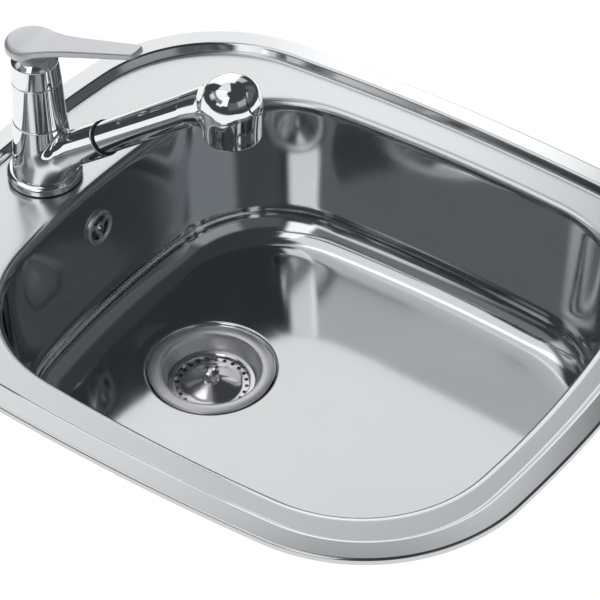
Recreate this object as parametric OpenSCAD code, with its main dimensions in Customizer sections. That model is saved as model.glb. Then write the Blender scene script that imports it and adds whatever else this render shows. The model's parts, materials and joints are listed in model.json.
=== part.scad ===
// Inset kitchen sink in pressed stainless steel with a single-lever pull-out mixer,
// a basket strainer waste and an overflow. Millimetres, +Z up, +Y towards the tap.
// The origin is the middle of the worktop cut-out, in the worktop's upper face.

/* [Rim and deck] */
// Overall width of the sink, left to right
sink_w = 445; // [425:5:520]
// Overall length of the sink, front to back
sink_l = 520; // [504:2:560]
// Corner radius of the outer edge
rim_corner_r = 129; // [118:1:140]
// Radius of the bow of the two sides
side_bow_r = 1830; // [1230:50:2530]
// Radius of the bow of the front and the back
end_bow_r = 970; // [820:50:2520]
// Width of the raised flat rim
rim_flat = 16; // [13:0.5:17]
// Height of the rim above the worktop
rim_h = 5; // [4:0.1:6]
// Width of the step from the rim down to the deck
rim_step = 5; // [4:0.5:7]
// Depth of the deck below the worktop's face
deck_drop = 1.6; // [0.5:0.1:3]
// Thickness of the steel sheet
sheet_t = 1; // [0.6:0.1:1.2]

/* [Bowl] */
// Width of the deck beside the bowl, rim included, on average
bowl_side = 40.5; // [39:0.5:48]
// Width of the deck in front of the bowl, rim included
bowl_front = 33.3; // [32.3:0.5:39.3]
// Width of the deck behind the bowl, where the tap stands
bowl_back = 87.7; // [84.7:0.5:94.7]
// Distance of the bowl from the sink's middle, to the right
bowl_x = -4; // [-5:0.5:5]
// Corner radius of the bowl's upper edge
bowl_corner_r = 108; // [90:1:114]
// Radius of the bow of the bowl's sides
bowl_side_r = 1360; // [910:50:2010]
// Radius of the bow of the bowl's ends
bowl_end_r = 750; // [600:10:1500]
// Depth of the bowl below the deck, at the foot of the walls
bowl_depth = 124; // [110:1:160]
// Slope of the bowl's walls, in degrees
wall_draft = 2.5; // [1:0.5:5]
// Radius of the rolled edge of the bowl
edge_r = 6; // [4:0.5:8]
// Radius between walls and floor
floor_r = 30; // [20:1:36]
// Fall of the floor towards the drain
floor_fall = 1.8; // [1:0.2:5]

/* [Waste] */
// Distance of the drain from the bowl's back edge
drain_back = 108.3; // [101.3:1:140.3]
// Diameter of the hole in the floor
drain_hole_d = 84; // [82:0.5:86]
// Depth of the pressed recess round the drain
drain_recess = 2.5; // [1.5:0.1:3]
// Diameter of the strainer's flange
flange_d = 94; // [92.5:0.5:98]
// Diameter of the strainer's mouth
mouth_d = 74; // [72:0.5:75]
// Depth of the strainer's cup below its flange
cup_depth = 20; // [19:0.5:24]
// Diameter of the basket
basket_d = 64.6; // [63:0.2:65.4]
// Number of holes round the basket
basket_holes = 24; // [12:1:28]
// Bore of the waste outlet
outlet_bore_d = 41; // [36:0.5:42]
// Diameter over the thread of the waste outlet
outlet_d = 47.8; // [46:0.1:50]
// Length of the threaded waste outlet
outlet_len = 22; // [18:1:30]

/* [Overflow] */
// Depth of the overflow's centre below the worktop's face
overflow_drop = 39; // [34:1:45]
// Diameter of the overflow rosette
rosette_d = 28; // [26:0.5:32]
// Diameter of the hole behind the rosette
overflow_hole_d = 22; // [20:0.5:23]
// Outer diameter of the overflow pipe
pipe_d = 20; // [18:0.5:21]
// Wall of the overflow pipe
pipe_wall = 1.5; // [1:0.25:2]

/* [Tap body] */
// Distance of the tap from the sink's middle, to the right
tap_x = -12; // [-20:1:20]
// Distance of the tap from the back of the rim
tap_back = 55; // [52:0.5:57]
// Diameter of the hole for the tap
tap_hole_d = 35; // [34.5:0.1:36]
// Diameter of the base ring
base_d = 55.5; // [54:0.5:57]
// Height of the base ring
base_h = 6.5; // [5:0.5:8]
// Diameter of the swivelling body at its foot
body_d = 47; // [45:0.2:49]
// Diameter of the swivelling body at its top
body_top_d = 39.4; // [39:0.2:41]
// Height of the joint above the swivelling body
swivel_top = 52.5; // [50:0.5:56]
// Height of the joint below the cap
housing_top = 88; // [86:0.5:90]
// Height of the lever's pivot above that joint
pivot_rise = 4; // [3.5:0.5:7]
// Radius of the cap's domed top, about the pivot
dome_r = 21; // [20:0.1:21.2]
// Running clearance of bearings, on the radius
run_gap = 0.05; // [0.02:0.01:0.1]
// Free gap between pieces that move past each other
free_gap = 0.3; // [0.3:0.05:0.5]

/* [Spout and spray head] */
// Slope of the spout, in degrees
spout_rise = 38; // [35:0.5:41]
// Height at which the spout's line crosses the tap's axis
spout_root_h = 14.5; // [13:0.5:17]
// Distance along the spout to the docking joint
dock_s = 76.4; // [72.4:1:84.4]
// Diameter of the fixed arm of the spout
arm_d = 26.5; // [26:0.5:28]
// Diameter of the pull-out tube
tube_d = 23.5; // [22.5:0.5:25.5]
// Diameter of the docking stem
stem_d = 18; // [16.4:0.2:18.6]
// Reach of the spray head's axis from the tap's axis
head_reach = 172.7; // [164.7:1:182.7]
// Height of the nozzle above the deck
nozzle_h = 121.7; // [118.7:1:124.7]
// Diameter of the spray head at the nozzle
head_d = 42; // [40.5:0.5:44]
// Height of the spray head
head_h = 43; // [41:0.5:46]
// Travel of the spray button
button_travel = 1.5; // [1:0.1:1.6]

/* [Lever] */
// Reach of the lever from the tap's axis
lever_reach = 96; // [84:1:110]
// Slope of the lever when shut, in degrees
lever_rise = 19.5; // [17:0.5:22]
// Diameter of the lever's round end
lever_root_d = 32.4; // [31.4:0.5:35.4]
// Width of the lever at its tip
lever_tip_w = 14.5; // [11.5:0.5:17.5]
// Lean of the spindle towards the lever when shut, in degrees
spindle_lean = 10; // [9:0.5:11.5]

/* [Fixing clips] */
// Thickness of the worktop
worktop_t = 28; // [20:1:40]
// Distance of the side clips from the middle, front to back
clip_y = 105; // [80:1:125]
// Distance of the front and back clips from the middle
clip_x = 95; // [90:1:100]

/* [Hidden] */
$fn = 64;
facet_fn = 32;
eps = 0.01;
seat_gap = 0.1;

deck_z = -deck_drop;
floor_z = deck_z - bowl_depth;
seat_z = floor_z - floor_fall - drain_recess;
bowl_w = sink_w - 2 * bowl_side;
bowl_l = sink_l - bowl_front - bowl_back;
bowl_back_y = sink_l / 2 - bowl_back;
bowl_at = [bowl_x, bowl_back_y - bowl_l / 2];
drain_at = [bowl_x, bowl_back_y - drain_back];
tap_y = sink_l / 2 - tap_back;

// An outline is a ring of arcs: half width, half length, middle, side bow, end bow, corner
rim_line = [sink_w / 2, sink_l / 2, [0, 0], side_bow_r, end_bow_r, rim_corner_r];
bowl_line = [bowl_w / 2, bowl_l / 2, bowl_at, bowl_side_r, bowl_end_r, bowl_corner_r];
side_steps = 5;
end_steps = 5;
corner_steps = 8;

function side_centre(o) = [o[0] - o[3], 0];
function end_centre(o) = [0, o[1] - o[4]];
function meet(c0, r0, c1, r1) =
    let (v = c1 - c0, d = norm(v), a = (r0 * r0 - r1 * r1 + d * d) / (2 * d),
         h = sqrt(r0 * r0 - a * a), u = v / d)
    c0 + a * u + h * [-u[1], u[0]];
function corner_centre(o) =
    meet(side_centre(o), o[3] - o[5], end_centre(o), o[4] - o[5]);
function turn_of(v) = atan2(v[1], v[0]);
function side_turn(o) = turn_of(corner_centre(o) - side_centre(o));
function end_turn(o) = turn_of(corner_centre(o) - end_centre(o));
function arc(c, r, a0, a1, n) =
    [for (i = [0 : n - 1]) let (a = a0 + (a1 - a0) * i / n) c + r * [cos(a), sin(a)]];

// The outline moved inwards by d, as a list of points
function outline(o, d) =
    let (s = side_centre(o), e = end_centre(o), c = corner_centre(o),
         sa = side_turn(o), ea = end_turn(o),
         rs = o[3] - d, re = o[4] - d, rc = o[5] - d,
         ring = concat(
             arc(s, rs, -sa, sa, side_steps),
             arc(c, rc, sa, ea, corner_steps),
             arc(e, re, ea, 180 - ea, end_steps),
             arc([-c[0], c[1]], rc, 180 - ea, 180 - sa, corner_steps),
             arc(-s, rs, 180 - sa, 180 + sa, side_steps),
             arc(-c, rc, 180 + sa, 180 + ea, corner_steps),
             arc(-e, re, 180 + ea, 360 - ea, end_steps),
             arc([c[0], -c[1]], rc, 360 - ea, 360 - sa, corner_steps)))
    [for (p = ring) p + o[2]];

function at_height(points, z) = [for (p = points) [p[0], p[1], z]];

// Where the outline's flat middle facets lie, for pieces that seat on them
function side_x(o, d, y) = o[0] - o[3] + sqrt(pow(o[3] - d, 2) - y * y);
function end_y(o, d, x) = o[1] - o[4] + sqrt(pow(o[4] - d, 2) - x * x);
function back_facet_y(o, d) =
    o[2][1] + o[1] - o[4] + (o[4] - d) * cos((90 - end_turn(o)) / end_steps);

// Profiles of the sheet's upper face: distance inwards and height
step_foot = rim_flat + rim_step;
rim_profile = [
    [0, 0.5], [0.3, rim_h - 2.2], [1.6, rim_h - 0.8], [5, rim_h - 0.2], [rim_flat, rim_h],
    [rim_flat + 1.2, rim_h - 0.6], [step_foot - 1.2, deck_z + 0.7], [step_foot, deck_z],
    [step_foot + 3, deck_z]];
wall_top_d = edge_r * cos(wall_draft);
wall_top_z = deck_z - edge_r * (1 - sin(wall_draft));
function wall_d(z) = wall_top_d + (wall_top_z - z) * tan(wall_draft);
fillet_top_z = floor_z + floor_r * (1 - sin(wall_draft));
fillet_d = wall_d(fillet_top_z) + floor_r * cos(wall_draft);
bowl_profile = concat(
    [for (a = [0, 25, 50, 75]) [edge_r * sin(a), deck_z - edge_r * (1 - cos(a))]],
    [[wall_top_d, wall_top_z]],
    [for (i = [0 : 5]) let (a = wall_draft + (90 - wall_draft) * i / 5)
        [fillet_d - floor_r * cos(a), floor_z + floor_r * (1 - sin(a))]]);
recess_r = flange_d / 2 + 3;
drain_rings = [
    [recess_r + 4, floor_z - floor_fall], [recess_r + 1.5, floor_z - floor_fall - 0.3],
    [recess_r - 1, seat_z + 0.4], [recess_r - 2, seat_z], [drain_hole_d / 2 - 5, seat_z]];

// The lower face of a profile, one sheet thickness away
function normal_of(a, b) = let (v = b - a) [v[1], -v[0]] / norm(v);
function lower(p, t) = [for (i = [0 : len(p) - 1])
    let (n0 = normal_of(p[max(i - 1, 0)], p[max(i, 1)]),
         n1 = normal_of(p[min(i, len(p) - 2)], p[min(i + 1, len(p) - 1)]),
         m = n0 + n1)
    p[i] + m * (2 * t / (m * m))];

function drain_ring(r, z) =
    [for (p = outline(bowl_line, fillet_d))
        let (v = p - drain_at, c = drain_at + r * v / norm(v)) [c[0], c[1], z]];

rim_faces = [for (p = rim_profile) at_height(outline(rim_line, p[0]), p[1])];
rim_backs = [for (p = lower(rim_profile, sheet_t)) at_height(outline(rim_line, p[0]), p[1])];
bowl_faces = [for (p = bowl_profile) at_height(outline(bowl_line, p[0]), p[1])];
bowl_backs = [for (p = lower(bowl_profile, sheet_t)) at_height(outline(bowl_line, p[0]), p[1])];
drain_faces = [for (p = drain_rings) drain_ring(p[0], p[1])];
drain_backs = [for (p = drain_rings) drain_ring(p[0] + 0.3, p[1] - sheet_t)];
function backwards(v) = [for (i = [len(v) - 1 : -1 : 0]) v[i]];
shell_rings = concat(rim_faces, bowl_faces, drain_faces,
    backwards(concat(rim_backs, bowl_backs, drain_backs)));

// A closed loop of rings, each with the same number of points
module ring_loft(rings) {
    k = len(rings);
    n = len(rings[0]);
    polyhedron(
        points = [for (r = rings) for (p = r) p],
        faces = [for (j = [0 : k - 1]) for (i = [0 : n - 1])
            let (a = j * n + i, b = j * n + (i + 1) % n,
                 c = ((j + 1) % k) * n + (i + 1) % n, e = ((j + 1) % k) * n + i)
            each [[a, e, c], [a, c, b]]]);
}

// Frames that the pieces are drawn in
overflow_z = -overflow_drop;
overflow_y = back_facet_y(bowl_line, wall_d(overflow_z));
module on_overflow() {
    translate([bowl_x, overflow_y, overflow_z]) rotate([90 - wall_draft, 0, 0]) children();
}
module on_drain() {
    translate([drain_at[0], drain_at[1], seat_z]) children();
}
module on_tap() {
    translate([tap_x, tap_y, deck_z]) children();
}
module on_spout() {
    on_tap() translate([0, 0, spout_root_h]) rotate([90 - spout_rise, 0, 0]) children();
}
module on_head() {
    on_tap() translate([0, -head_reach, nozzle_h]) children();
}
module on_pivot() {
    on_tap() translate([0, 0, pivot_h]) children();
}
module tube(r, bore, h) {
    difference() {
        cylinder(r = r, h = h);
        translate([0, 0, -1]) cylinder(r = bore, h = h + 2);
    }
}

// Sink
module sink_body() {
    color("silver") difference() {
        ring_loft(shell_rings);
        on_drain() translate([0, 0, -10]) cylinder(d = drain_hole_d, h = 20);
        on_tap() translate([0, 0, -5]) cylinder(d = tap_hole_d, h = 10);
        on_overflow() translate([0, 0, -6]) cylinder(d = overflow_hole_d, h = 12);
    }
}

seal_in = 3.5;
seal_w = 6;
seal_top = rim_h - sheet_t - 0.35;
module rim_seal() {
    section = [[seal_in, 0], [seal_in, seal_top - 0.5], [seal_in + 1.5, seal_top],
        [seal_in + seal_w, seal_top], [seal_in + seal_w, 0]];
    color("dimgray") ring_loft([for (p = section) at_height(outline(rim_line, p[0]), p[1])]);
}

// Fixing clips, drawn with +X outwards from the middle of the deck strip
clip_in = step_foot + 9;
clip_z = deck_z - sheet_t;
plate_t = 1.5;
clip_w = 16;
lug_len = 14;
clip_foot_z = -(worktop_t + clip_z) - 8;
clip_toe_z = -(worktop_t + clip_z) - 0.3;
clip_screw_x = 1.5;
clip_screw_r = 2;
clip_toe_x = clip_in - 6;
clip_places = concat(
    [for (sx = [-1, 1]) for (y = [-clip_y, clip_y])
        [sx * side_x(rim_line, clip_in, clip_y), y, sx > 0 ? 0 : 180]],
    [for (x = [-clip_x, clip_x]) [x, end_y(rim_line, clip_in, clip_x), 90]],
    [for (x = [-clip_x, clip_x]) [x, -end_y(rim_line, clip_in - 2.5, clip_x), 270]]);
module at_clips() {
    for (p = clip_places) translate([p[0], p[1], clip_z]) rotate([0, 0, p[2]]) children();
}
module clip_brackets() {
    color("darkgray") at_clips() difference() {
        union() {
            translate([-5, -clip_w / 2, -plate_t]) cube([10, clip_w, plate_t]);
            translate([-5, -clip_w / 2, -lug_len]) cube([plate_t, clip_w, lug_len - plate_t / 2]);
            translate([-5, -clip_w / 2, -lug_len]) cube([10, clip_w, plate_t]);
        }
        translate([clip_screw_x, 0, -lug_len - 1]) cylinder(r = clip_screw_r, h = plate_t + 2);
    }
}
module clip_arms() {
    leg_top = -lug_len - 1;
    color("darkgray") at_clips() difference() {
        union() {
            translate([-5, -clip_w / 2 + 1, clip_foot_z])
                cube([plate_t, clip_w - 2, leg_top - clip_foot_z]);
            translate([-5, -clip_w / 2 + 1, clip_foot_z])
                cube([clip_toe_x + 5, clip_w - 2, plate_t]);
            for (y = [-5, 0, 5]) translate([clip_toe_x, y, clip_foot_z]) rotate([90, 0, 0])
                translate([0, 0, -1.5]) linear_extrude(3) polygon([[-plate_t, 0], [0, 0],
                    [0, clip_toe_z - clip_foot_z], [-plate_t, clip_toe_z - clip_foot_z - 1.5]]);
        }
        translate([clip_screw_x, 0, clip_foot_z - 1])
            cylinder(r = clip_screw_r + 0.3, h = plate_t + 2);
    }
}
module clip_screws() {
    head_h1 = 2.4;
    color("gray") at_clips() {
        translate([clip_screw_x, 0, clip_foot_z - seat_gap]) {
            cylinder(r = clip_screw_r - 0.05, h = -lug_len + plate_t + 2 - clip_foot_z);
            difference() {
                translate([0, 0, -head_h1]) cylinder(r = 3.6, h = head_h1 + eps);
                translate([-4, -0.5, -head_h1 - 1]) cube([8, 1, 2]);
            }
        }
    }
}

// Waste: heights are above the drain's seat
flange_r = flange_d / 2;
mouth_r = mouth_d / 2;
seal_t = 1;
flange_top = seal_t + 1.4;
cup_z = flange_top - cup_depth;
basket_r = basket_d / 2;
ledge_z = cup_z + 5;
cup_t = 1;
slot_ring_r = 14.5;
slot_r = 4.2;
boss_r = 7;
boss_top = cup_z + 2;
waste_screw_r = 3;
head_top = boss_top + 2.6;
post_r = 5.8;
rivet_r = 2.5;
collar_z = head_top + 4.6;
module flange_seal() {
    color("dimgray") on_drain() tube(flange_r - 1.5, drain_hole_d / 2 + 0.5, seal_t - 0.05);
}
module waste_flange() {
    ledge_r = basket_r + free_gap;
    color("gainsboro") on_drain() difference() {
        rotate_extrude() polygon([
            [0, cup_z - cup_t], [0, boss_top], [boss_r, boss_top], [boss_r + 1, cup_z],
            [ledge_r - 3.6, cup_z], [ledge_r - 2.6, cup_z + 1], [ledge_r - 2.6, ledge_z],
            [ledge_r, ledge_z], [ledge_r + 0.4, ledge_z + 1.5],
            [mouth_r - 1.2, flange_top - 5], [mouth_r - 0.3, flange_top - 2],
            [mouth_r + 0.8, flange_top - 0.5], [mouth_r + 2.6, flange_top],
            [flange_r - 3.5, flange_top - 0.1], [flange_r - 1, flange_top - 0.6],
            [flange_r, flange_top - 1.6], [flange_r, seal_t - 0.5], [flange_r - 0.8, seal_t - 0.5],
            [flange_r - 1.4, seal_t], [mouth_r + 3, seal_t], [mouth_r + 1.2, flange_top - 2.4],
            [mouth_r - 0.2, flange_top - 5.4], [ledge_r + 1.4, ledge_z + 1],
            [ledge_r + 1, ledge_z - cup_t], [ledge_r - 1.6, ledge_z - cup_t],
            [ledge_r - 1.6, cup_z + 0.6], [ledge_r - 3.2, cup_z - cup_t]]);
        for (i = [0 : 7]) rotate(i * 45) translate([slot_ring_r, 0, cup_z - 3])
            cylinder(r = slot_r, h = 6);
        translate([0, 0, cup_z - 3]) cylinder(r = waste_screw_r + 0.2, h = 10);
    }
}
module strainer_basket() {
    // A pressed dish with holes round its floor and a cone in the middle
    rest = ledge_z + free_gap;
    floor0 = cup_z + free_gap + 2.1;
    holes_at = basket_r - 6.5;
    color("gainsboro") on_drain() difference() {
        rotate_extrude() polygon([
            [rivet_r, collar_z], [post_r + 0.4, collar_z], [10, head_top + 3.2],
            [holes_at - 5, floor0 + 1.4],
            [holes_at - 3, floor0 + 1], [holes_at + 1.8, floor0 + 1], [basket_r - 4, rest + 0.9],
            [basket_r - 3.2, rest + 1.5], [basket_r - 0.4, rest + 1.5], [basket_r, rest + 0.9],
            [basket_r, rest], [basket_r - 3, rest], [holes_at + 2.6, floor0],
            [holes_at - 4, floor0], [9.6, head_top + 2.2], [post_r + 0.2, collar_z - 1],
            [rivet_r, collar_z - 1]]);
        for (i = [0 : basket_holes - 1]) rotate(i * 360 / basket_holes)
            translate([holes_at, 0, floor0 - 1]) cylinder(r = 1.6, h = 4, $fn = 24);
    }
}
module basket_post() {
    // The post that the basket is lifted by, riveted through the cone
    color("gainsboro") on_drain() rotate_extrude() polygon([
        [0, collar_z - 1.6], [rivet_r - 0.05, collar_z - 1.6], [rivet_r - 0.05, collar_z + 0.05],
        [post_r, collar_z + 0.05], [post_r - 1, collar_z + 1.4], [post_r - 1, flange_top - 5],
        [post_r, flange_top - 4], [post_r, flange_top - 2.6], [3, flange_top - 1.4],
        [0, flange_top - 1.2]]);
}
module stopper_seal() {
    rest = cup_z + free_gap;
    color("dimgray") on_drain() difference() {
        translate([0, 0, rest]) cylinder(r = slot_ring_r + slot_r + 2, h = 2);
        translate([0, 0, rest - 1]) cylinder(r = boss_r + 1.6, h = 4);
    }
}
body_top = -sheet_t - 2.5;
body_cone_z = cup_z - 7;
outlet_top_z = body_cone_z - 12;
outlet_end_z = outlet_top_z - outlet_len;
side_inlet_z = body_top - pipe_d / 2 - 8;
body_r = drain_hole_d / 2 - 0.4;
outlet_r = outlet_d / 2;
bore_r = outlet_bore_d / 2;
body_out_r = flange_r;
nut_r = 6;
module waste_gasket() {
    color("dimgray") on_drain() translate([0, 0, body_top + 0.05])
        tube(body_out_r - 0.5, body_r - 1.5, -sheet_t - body_top - 0.1);
}
module waste_body() {
    wall = 2.5;
    inlet_end = body_r + 16;
    low = outlet_top_z + 0.05;
    color("whitesmoke") on_drain() difference() {
        union() {
            rotate_extrude() polygon([
                [0, body_top], [body_out_r, body_top], [body_out_r, body_top - 3.5],
                [body_r, body_top - 4], [body_r, body_cone_z + 2], [outlet_r + 2, low],
                [0, low]]);
            translate([0, 0, side_inlet_z]) rotate([-90, 0, 0])
                cylinder(d = pipe_d + 2 * wall, h = inlet_end);
        }
        difference() {
            rotate_extrude() polygon([
                [0, body_top + 1], [body_r - wall, body_top + 1], [body_r - wall, body_cone_z],
                [bore_r, outlet_top_z], [0, outlet_top_z]]);
            for (i = [0 : 3]) rotate(i * 90 + 45) translate([0, -1.5, outlet_top_z])
                cube([body_r, 3, 8]);
            translate([0, 0, outlet_top_z]) cylinder(r = nut_r + 2, h = 10);
        }
        translate([0, 0, side_inlet_z]) rotate([-90, 0, 0]) {
            translate([0, 0, body_r - 12]) cylinder(d = pipe_d - 2 * pipe_wall, h = 40);
            translate([0, 0, body_r + 4]) cylinder(d = pipe_d + 0.2, h = 40);
        }
        translate([0, 0, outlet_top_z + 2]) cylinder(r = nut_r, h = 20, $fn = 6);
        translate([0, 0, outlet_top_z - 1]) cylinder(r = waste_screw_r + 0.2, h = 6);
    }
}
module waste_tail() {
    // The threaded outlet, welded under the body
    color("whitesmoke") on_drain() translate([0, 0, outlet_end_z])
        tube(outlet_r, bore_r, outlet_len);
}
module waste_nut() {
    color("goldenrod") on_drain() translate([0, 0, outlet_top_z + 2 + 0.05]) difference() {
        cylinder(r = nut_r - 0.1, h = 7.5, $fn = 6);
        translate([0, 0, -1]) cylinder(r = waste_screw_r + run_gap, h = 10);
    }
}
module waste_screw() {
    color("silver") on_drain() difference() {
        union() {
            translate([0, 0, outlet_top_z + 1])
                cylinder(r = waste_screw_r, h = boss_top - outlet_top_z);
            translate([0, 0, boss_top + 0.05]) cylinder(r = 5, h = 2.5);
        }
        translate([-6, -0.6, head_top - 1.3]) cube([12, 1.2, 2]);
    }
}

// Overflow: the frame's +Z points out of the back wall, into the bowl
hole_r = overflow_hole_d / 2;
rosette_r = rosette_d / 2;
elbow_wall = 2;
elbow_r = rosette_r + 0.5;
elbow_depth = pipe_d + 4;
gasket_t = 2;
hub_r = 4;
overflow_screw_r = 1.8;
module sector(r, a, h) {
    rotate([0, 0, -a / 2]) rotate_extrude(angle = a) square([r, h]);
}
module overflow_rosette() {
    color("gainsboro") on_overflow() difference() {
        rotate_extrude() polygon([
            [0, seat_gap], [0, 2.2], [hub_r, 2.2], [hub_r + 0.6, 1.7], [rosette_r - 4, 1.7],
            [rosette_r - 3.2, 2.6], [rosette_r - 1.4, 2.9], [rosette_r - 0.3, 2.2],
            [rosette_r, seat_gap]]);
        for (i = [0 : 2]) rotate(i * 120 + 90) difference() {
            translate([0, 0, -1]) sector(rosette_r - 4.2, 88, 5);
            translate([0, 0, -2]) cylinder(r = hub_r + 1, h = 7);
        }
        translate([0, 0, -1]) cylinder(r = overflow_screw_r + 0.2, h = 6);
    }
}
module overflow_screw() {
    color("silver") on_overflow() difference() {
        union() {
            translate([0, 0, 2.25]) cylinder(r1 = 3.2, r2 = 2.6, h = 1.4);
            translate([0, 0, -12]) cylinder(r = overflow_screw_r, h = 14.3);
        }
        translate([-4, -0.4, 3]) cube([8, 0.8, 2]);
    }
}
module overflow_gasket() {
    color("dimgray") on_overflow() translate([0, 0, -sheet_t - gasket_t])
        tube(elbow_r, hole_r + 0.5, gasket_t - seat_gap);
}
elbow_face = -sheet_t - gasket_t - 0.05;
elbow_mid = elbow_face - 3 - pipe_d / 2;
pipe_y = overflow_y - elbow_mid * cos(wall_draft) + 0.6;
elbow_end = -elbow_r - 12;
module overflow_elbow() {
    // A chamber open to the wall, with a socket that points down
    color("whitesmoke") union() {
        difference() {
            union() {
                on_overflow() translate([0, 0, elbow_face - elbow_depth])
                    cylinder(r = elbow_r, h = elbow_depth);
                translate([bowl_x, pipe_y, overflow_z + elbow_end])
                    cylinder(d = pipe_d + 2 * elbow_wall, h = -elbow_end);
            }
            on_overflow() translate([0, 0, elbow_face - elbow_depth + elbow_wall])
                cylinder(r = hole_r, h = elbow_depth);
            translate([bowl_x, pipe_y, overflow_z + elbow_end - 1])
                cylinder(d = pipe_d + 0.2, h = 10);
            translate([bowl_x, pipe_y, overflow_z + elbow_end])
                cylinder(d = pipe_d - 2 * pipe_wall, h = -elbow_end);
        }
        on_overflow() translate([0, 0, elbow_face - elbow_depth]) difference() {
            cylinder(r = overflow_screw_r + 2, h = elbow_depth - 2);
            translate([0, 0, elbow_wall]) cylinder(r = overflow_screw_r + 0.1, h = elbow_depth);
        }
    }
}
bend_r = 24;
pipe_low_z = seat_z + side_inlet_z;
pipe_start = overflow_z + elbow_end + 8.8;
pipe_end_y = drain_at[1] + body_r + 5;
module overflow_pipe() {
    down = pipe_start - pipe_low_z - bend_r;
    along = pipe_y - bend_r - pipe_end_y;
    inner = pipe_d / 2 - pipe_wall;
    color("whitesmoke") {
        translate([bowl_x, pipe_y, pipe_low_z + bend_r]) tube(pipe_d / 2, inner, down);
        translate([bowl_x, pipe_y - bend_r, pipe_low_z]) rotate([90, 0, 0])
            tube(pipe_d / 2, inner, along);
        translate([bowl_x, pipe_y - bend_r, pipe_low_z + bend_r]) rotate([0, 90, 0])
            rotate_extrude(angle = 90) translate([bend_r, 0]) difference() {
                circle(r = pipe_d / 2);
                circle(r = inner);
            }
    }
}
module overflow_nuts() {
    nut_out = pipe_d / 2 + 5;
    color("whitesmoke") {
        translate([bowl_x, pipe_y, overflow_z + elbow_end - 8])
            tube(nut_out, pipe_d / 2 + 0.15, 8 - seat_gap);
        translate([bowl_x, drain_at[1] + body_r + 16 + seat_gap, pipe_low_z]) rotate([-90, 0, 0])
            tube(nut_out, pipe_d / 2 + 0.15, 8);
    }
}

// Tap: heights are above the deck
shank_r = tap_hole_d / 2 - 1.5;
column_r = shank_r - 0.8;
bush_r = column_r + 2;
swivel_bore_r = bush_r + run_gap;
base_r = base_d / 2;
gasket_h = 1;
base_top = gasket_h + base_h;
swivel_low = base_top + free_gap;
body_r0 = body_d / 2;
body_r1 = body_top_d / 2;
housing_low = swivel_top + free_gap;
housing_r0 = body_r1 - 0.4;
housing_r1 = housing_r0 - 1.3;
spigot_low = 0.2 - sheet_t;
inlet_r = 5;
inlet_x = 7.5;
inlet_y = 0.5;
hose_bore_r = 5.5;
hose_bore_y = 9.3;
socket_depth = 14;
stud_r = 4;
stud_y = -10.6;
window_low = base_top + 12;
window_high = swivel_top - 13;
window_w = 1.5 * shank_r;
module base_gasket() {
    color("dimgray") on_tap() tube(base_r - 1, shank_r + 0.6, gasket_h - 0.05);
}
module base_ring() {
    color("gainsboro") on_tap() rotate_extrude() polygon([
        [shank_r + 0.2, gasket_h], [base_r - 0.6, gasket_h], [base_r, gasket_h + 0.6],
        [base_r, base_top - 2.4], [base_r - 0.8, base_top - 0.9], [base_r - 2.4, base_top - 0.1],
        [body_r0 - 1, base_top], [shank_r + 0.2, base_top]]);
}
module inner_column() {
    neck = housing_low + 5.2;
    color("goldenrod") on_tap() difference() {
        rotate_extrude() polygon([
            [0, spigot_low], [shank_r - 1, spigot_low], [shank_r, spigot_low + 1],
            [shank_r, base_top + seat_gap], [bush_r - free_gap, base_top + seat_gap],
            [bush_r - free_gap, base_top + 2], [column_r, base_top + 2],
            [column_r, swivel_top], [column_r - 1, swivel_top], [column_r - 1, neck],
            [0, neck]]);
        translate([0, 0, spigot_low + socket_depth])
            cylinder(r = shank_r - 3, h = swivel_top - spigot_low - socket_depth);
        for (x = [-1, 1]) translate([x * inlet_x, inlet_y, spigot_low - 1])
            cylinder(r = inlet_r, h = socket_depth + 2);
        translate([0, hose_bore_y, spigot_low - 1]) cylinder(r = hose_bore_r, h = socket_depth + 2);
        translate([0, stud_y, spigot_low - 1]) cylinder(r = stud_r + run_gap, h = socket_depth - 2);
        for (a = [30, 150, 270]) rotate(a) translate([8, 0, swivel_top - 1])
            cylinder(r = 3, h = 20);
        translate([-window_w / 2, -base_r, window_low])
            cube([window_w, base_r, window_high - window_low]);
    }
}
module swivel_bushes() {
    color("ivory") on_tap() for (z = [base_top + 2 + seat_gap, swivel_top - 8])
        translate([0, 0, z]) tube(bush_r, column_r + 0.05, 6);
}
arm_r = arm_d / 2;
stem_r = stem_d / 2;
sleeve_r = arm_r - 2;
dock_grip = 33;
sleeve_s = dock_s - dock_grip;
stem_tail = 4;
hose_way_r = 5;
module spout_body() {
    color("gainsboro") difference() {
        union() {
            on_tap() rotate_extrude() polygon([
                [0, swivel_low], [body_r0 - 0.5, swivel_low], [body_r0, swivel_low + 0.5],
                [body_r1, swivel_top - 0.5], [body_r1 - 0.5, swivel_top], [0, swivel_top]]);
            on_spout() translate([0, 0, 18]) cylinder(r = arm_r, h = dock_s - 18);
            hull() {
                on_spout() translate([0, 0, sleeve_s + 3]) cylinder(r = arm_r - 0.2, h = 1, $fn = facet_fn);
                on_tap() translate([0, 0, swivel_low + 9])
                    cylinder(r = body_r0 - 4, h = swivel_top - swivel_low - 18, $fn = facet_fn);
            }
        }
        on_tap() translate([0, 0, -1]) cylinder(r = swivel_bore_r, h = swivel_top + 5);
        on_spout() translate([0, 0, sleeve_s]) cylinder(r = sleeve_r + 0.05, h = dock_s);
        on_spout() translate([0, 0, sleeve_s - stem_tail - 5])
            cylinder(r = stem_r + 0.4, h = stem_tail + 10);
        on_spout() cylinder(r = hose_way_r + 2, h = sleeve_s);
    }
}
module dock_sleeve() {
    color("darkslategray") on_spout() difference() {
        union() {
            translate([0, 0, sleeve_s + seat_gap]) cylinder(r = sleeve_r, h = dock_s - sleeve_s);
            translate([0, 0, dock_s + 0.05]) cylinder(r = arm_r - 0.3, h = 1.5);
        }
        cylinder(r = stem_r + run_gap, h = 2 * dock_s);
    }
}

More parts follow.
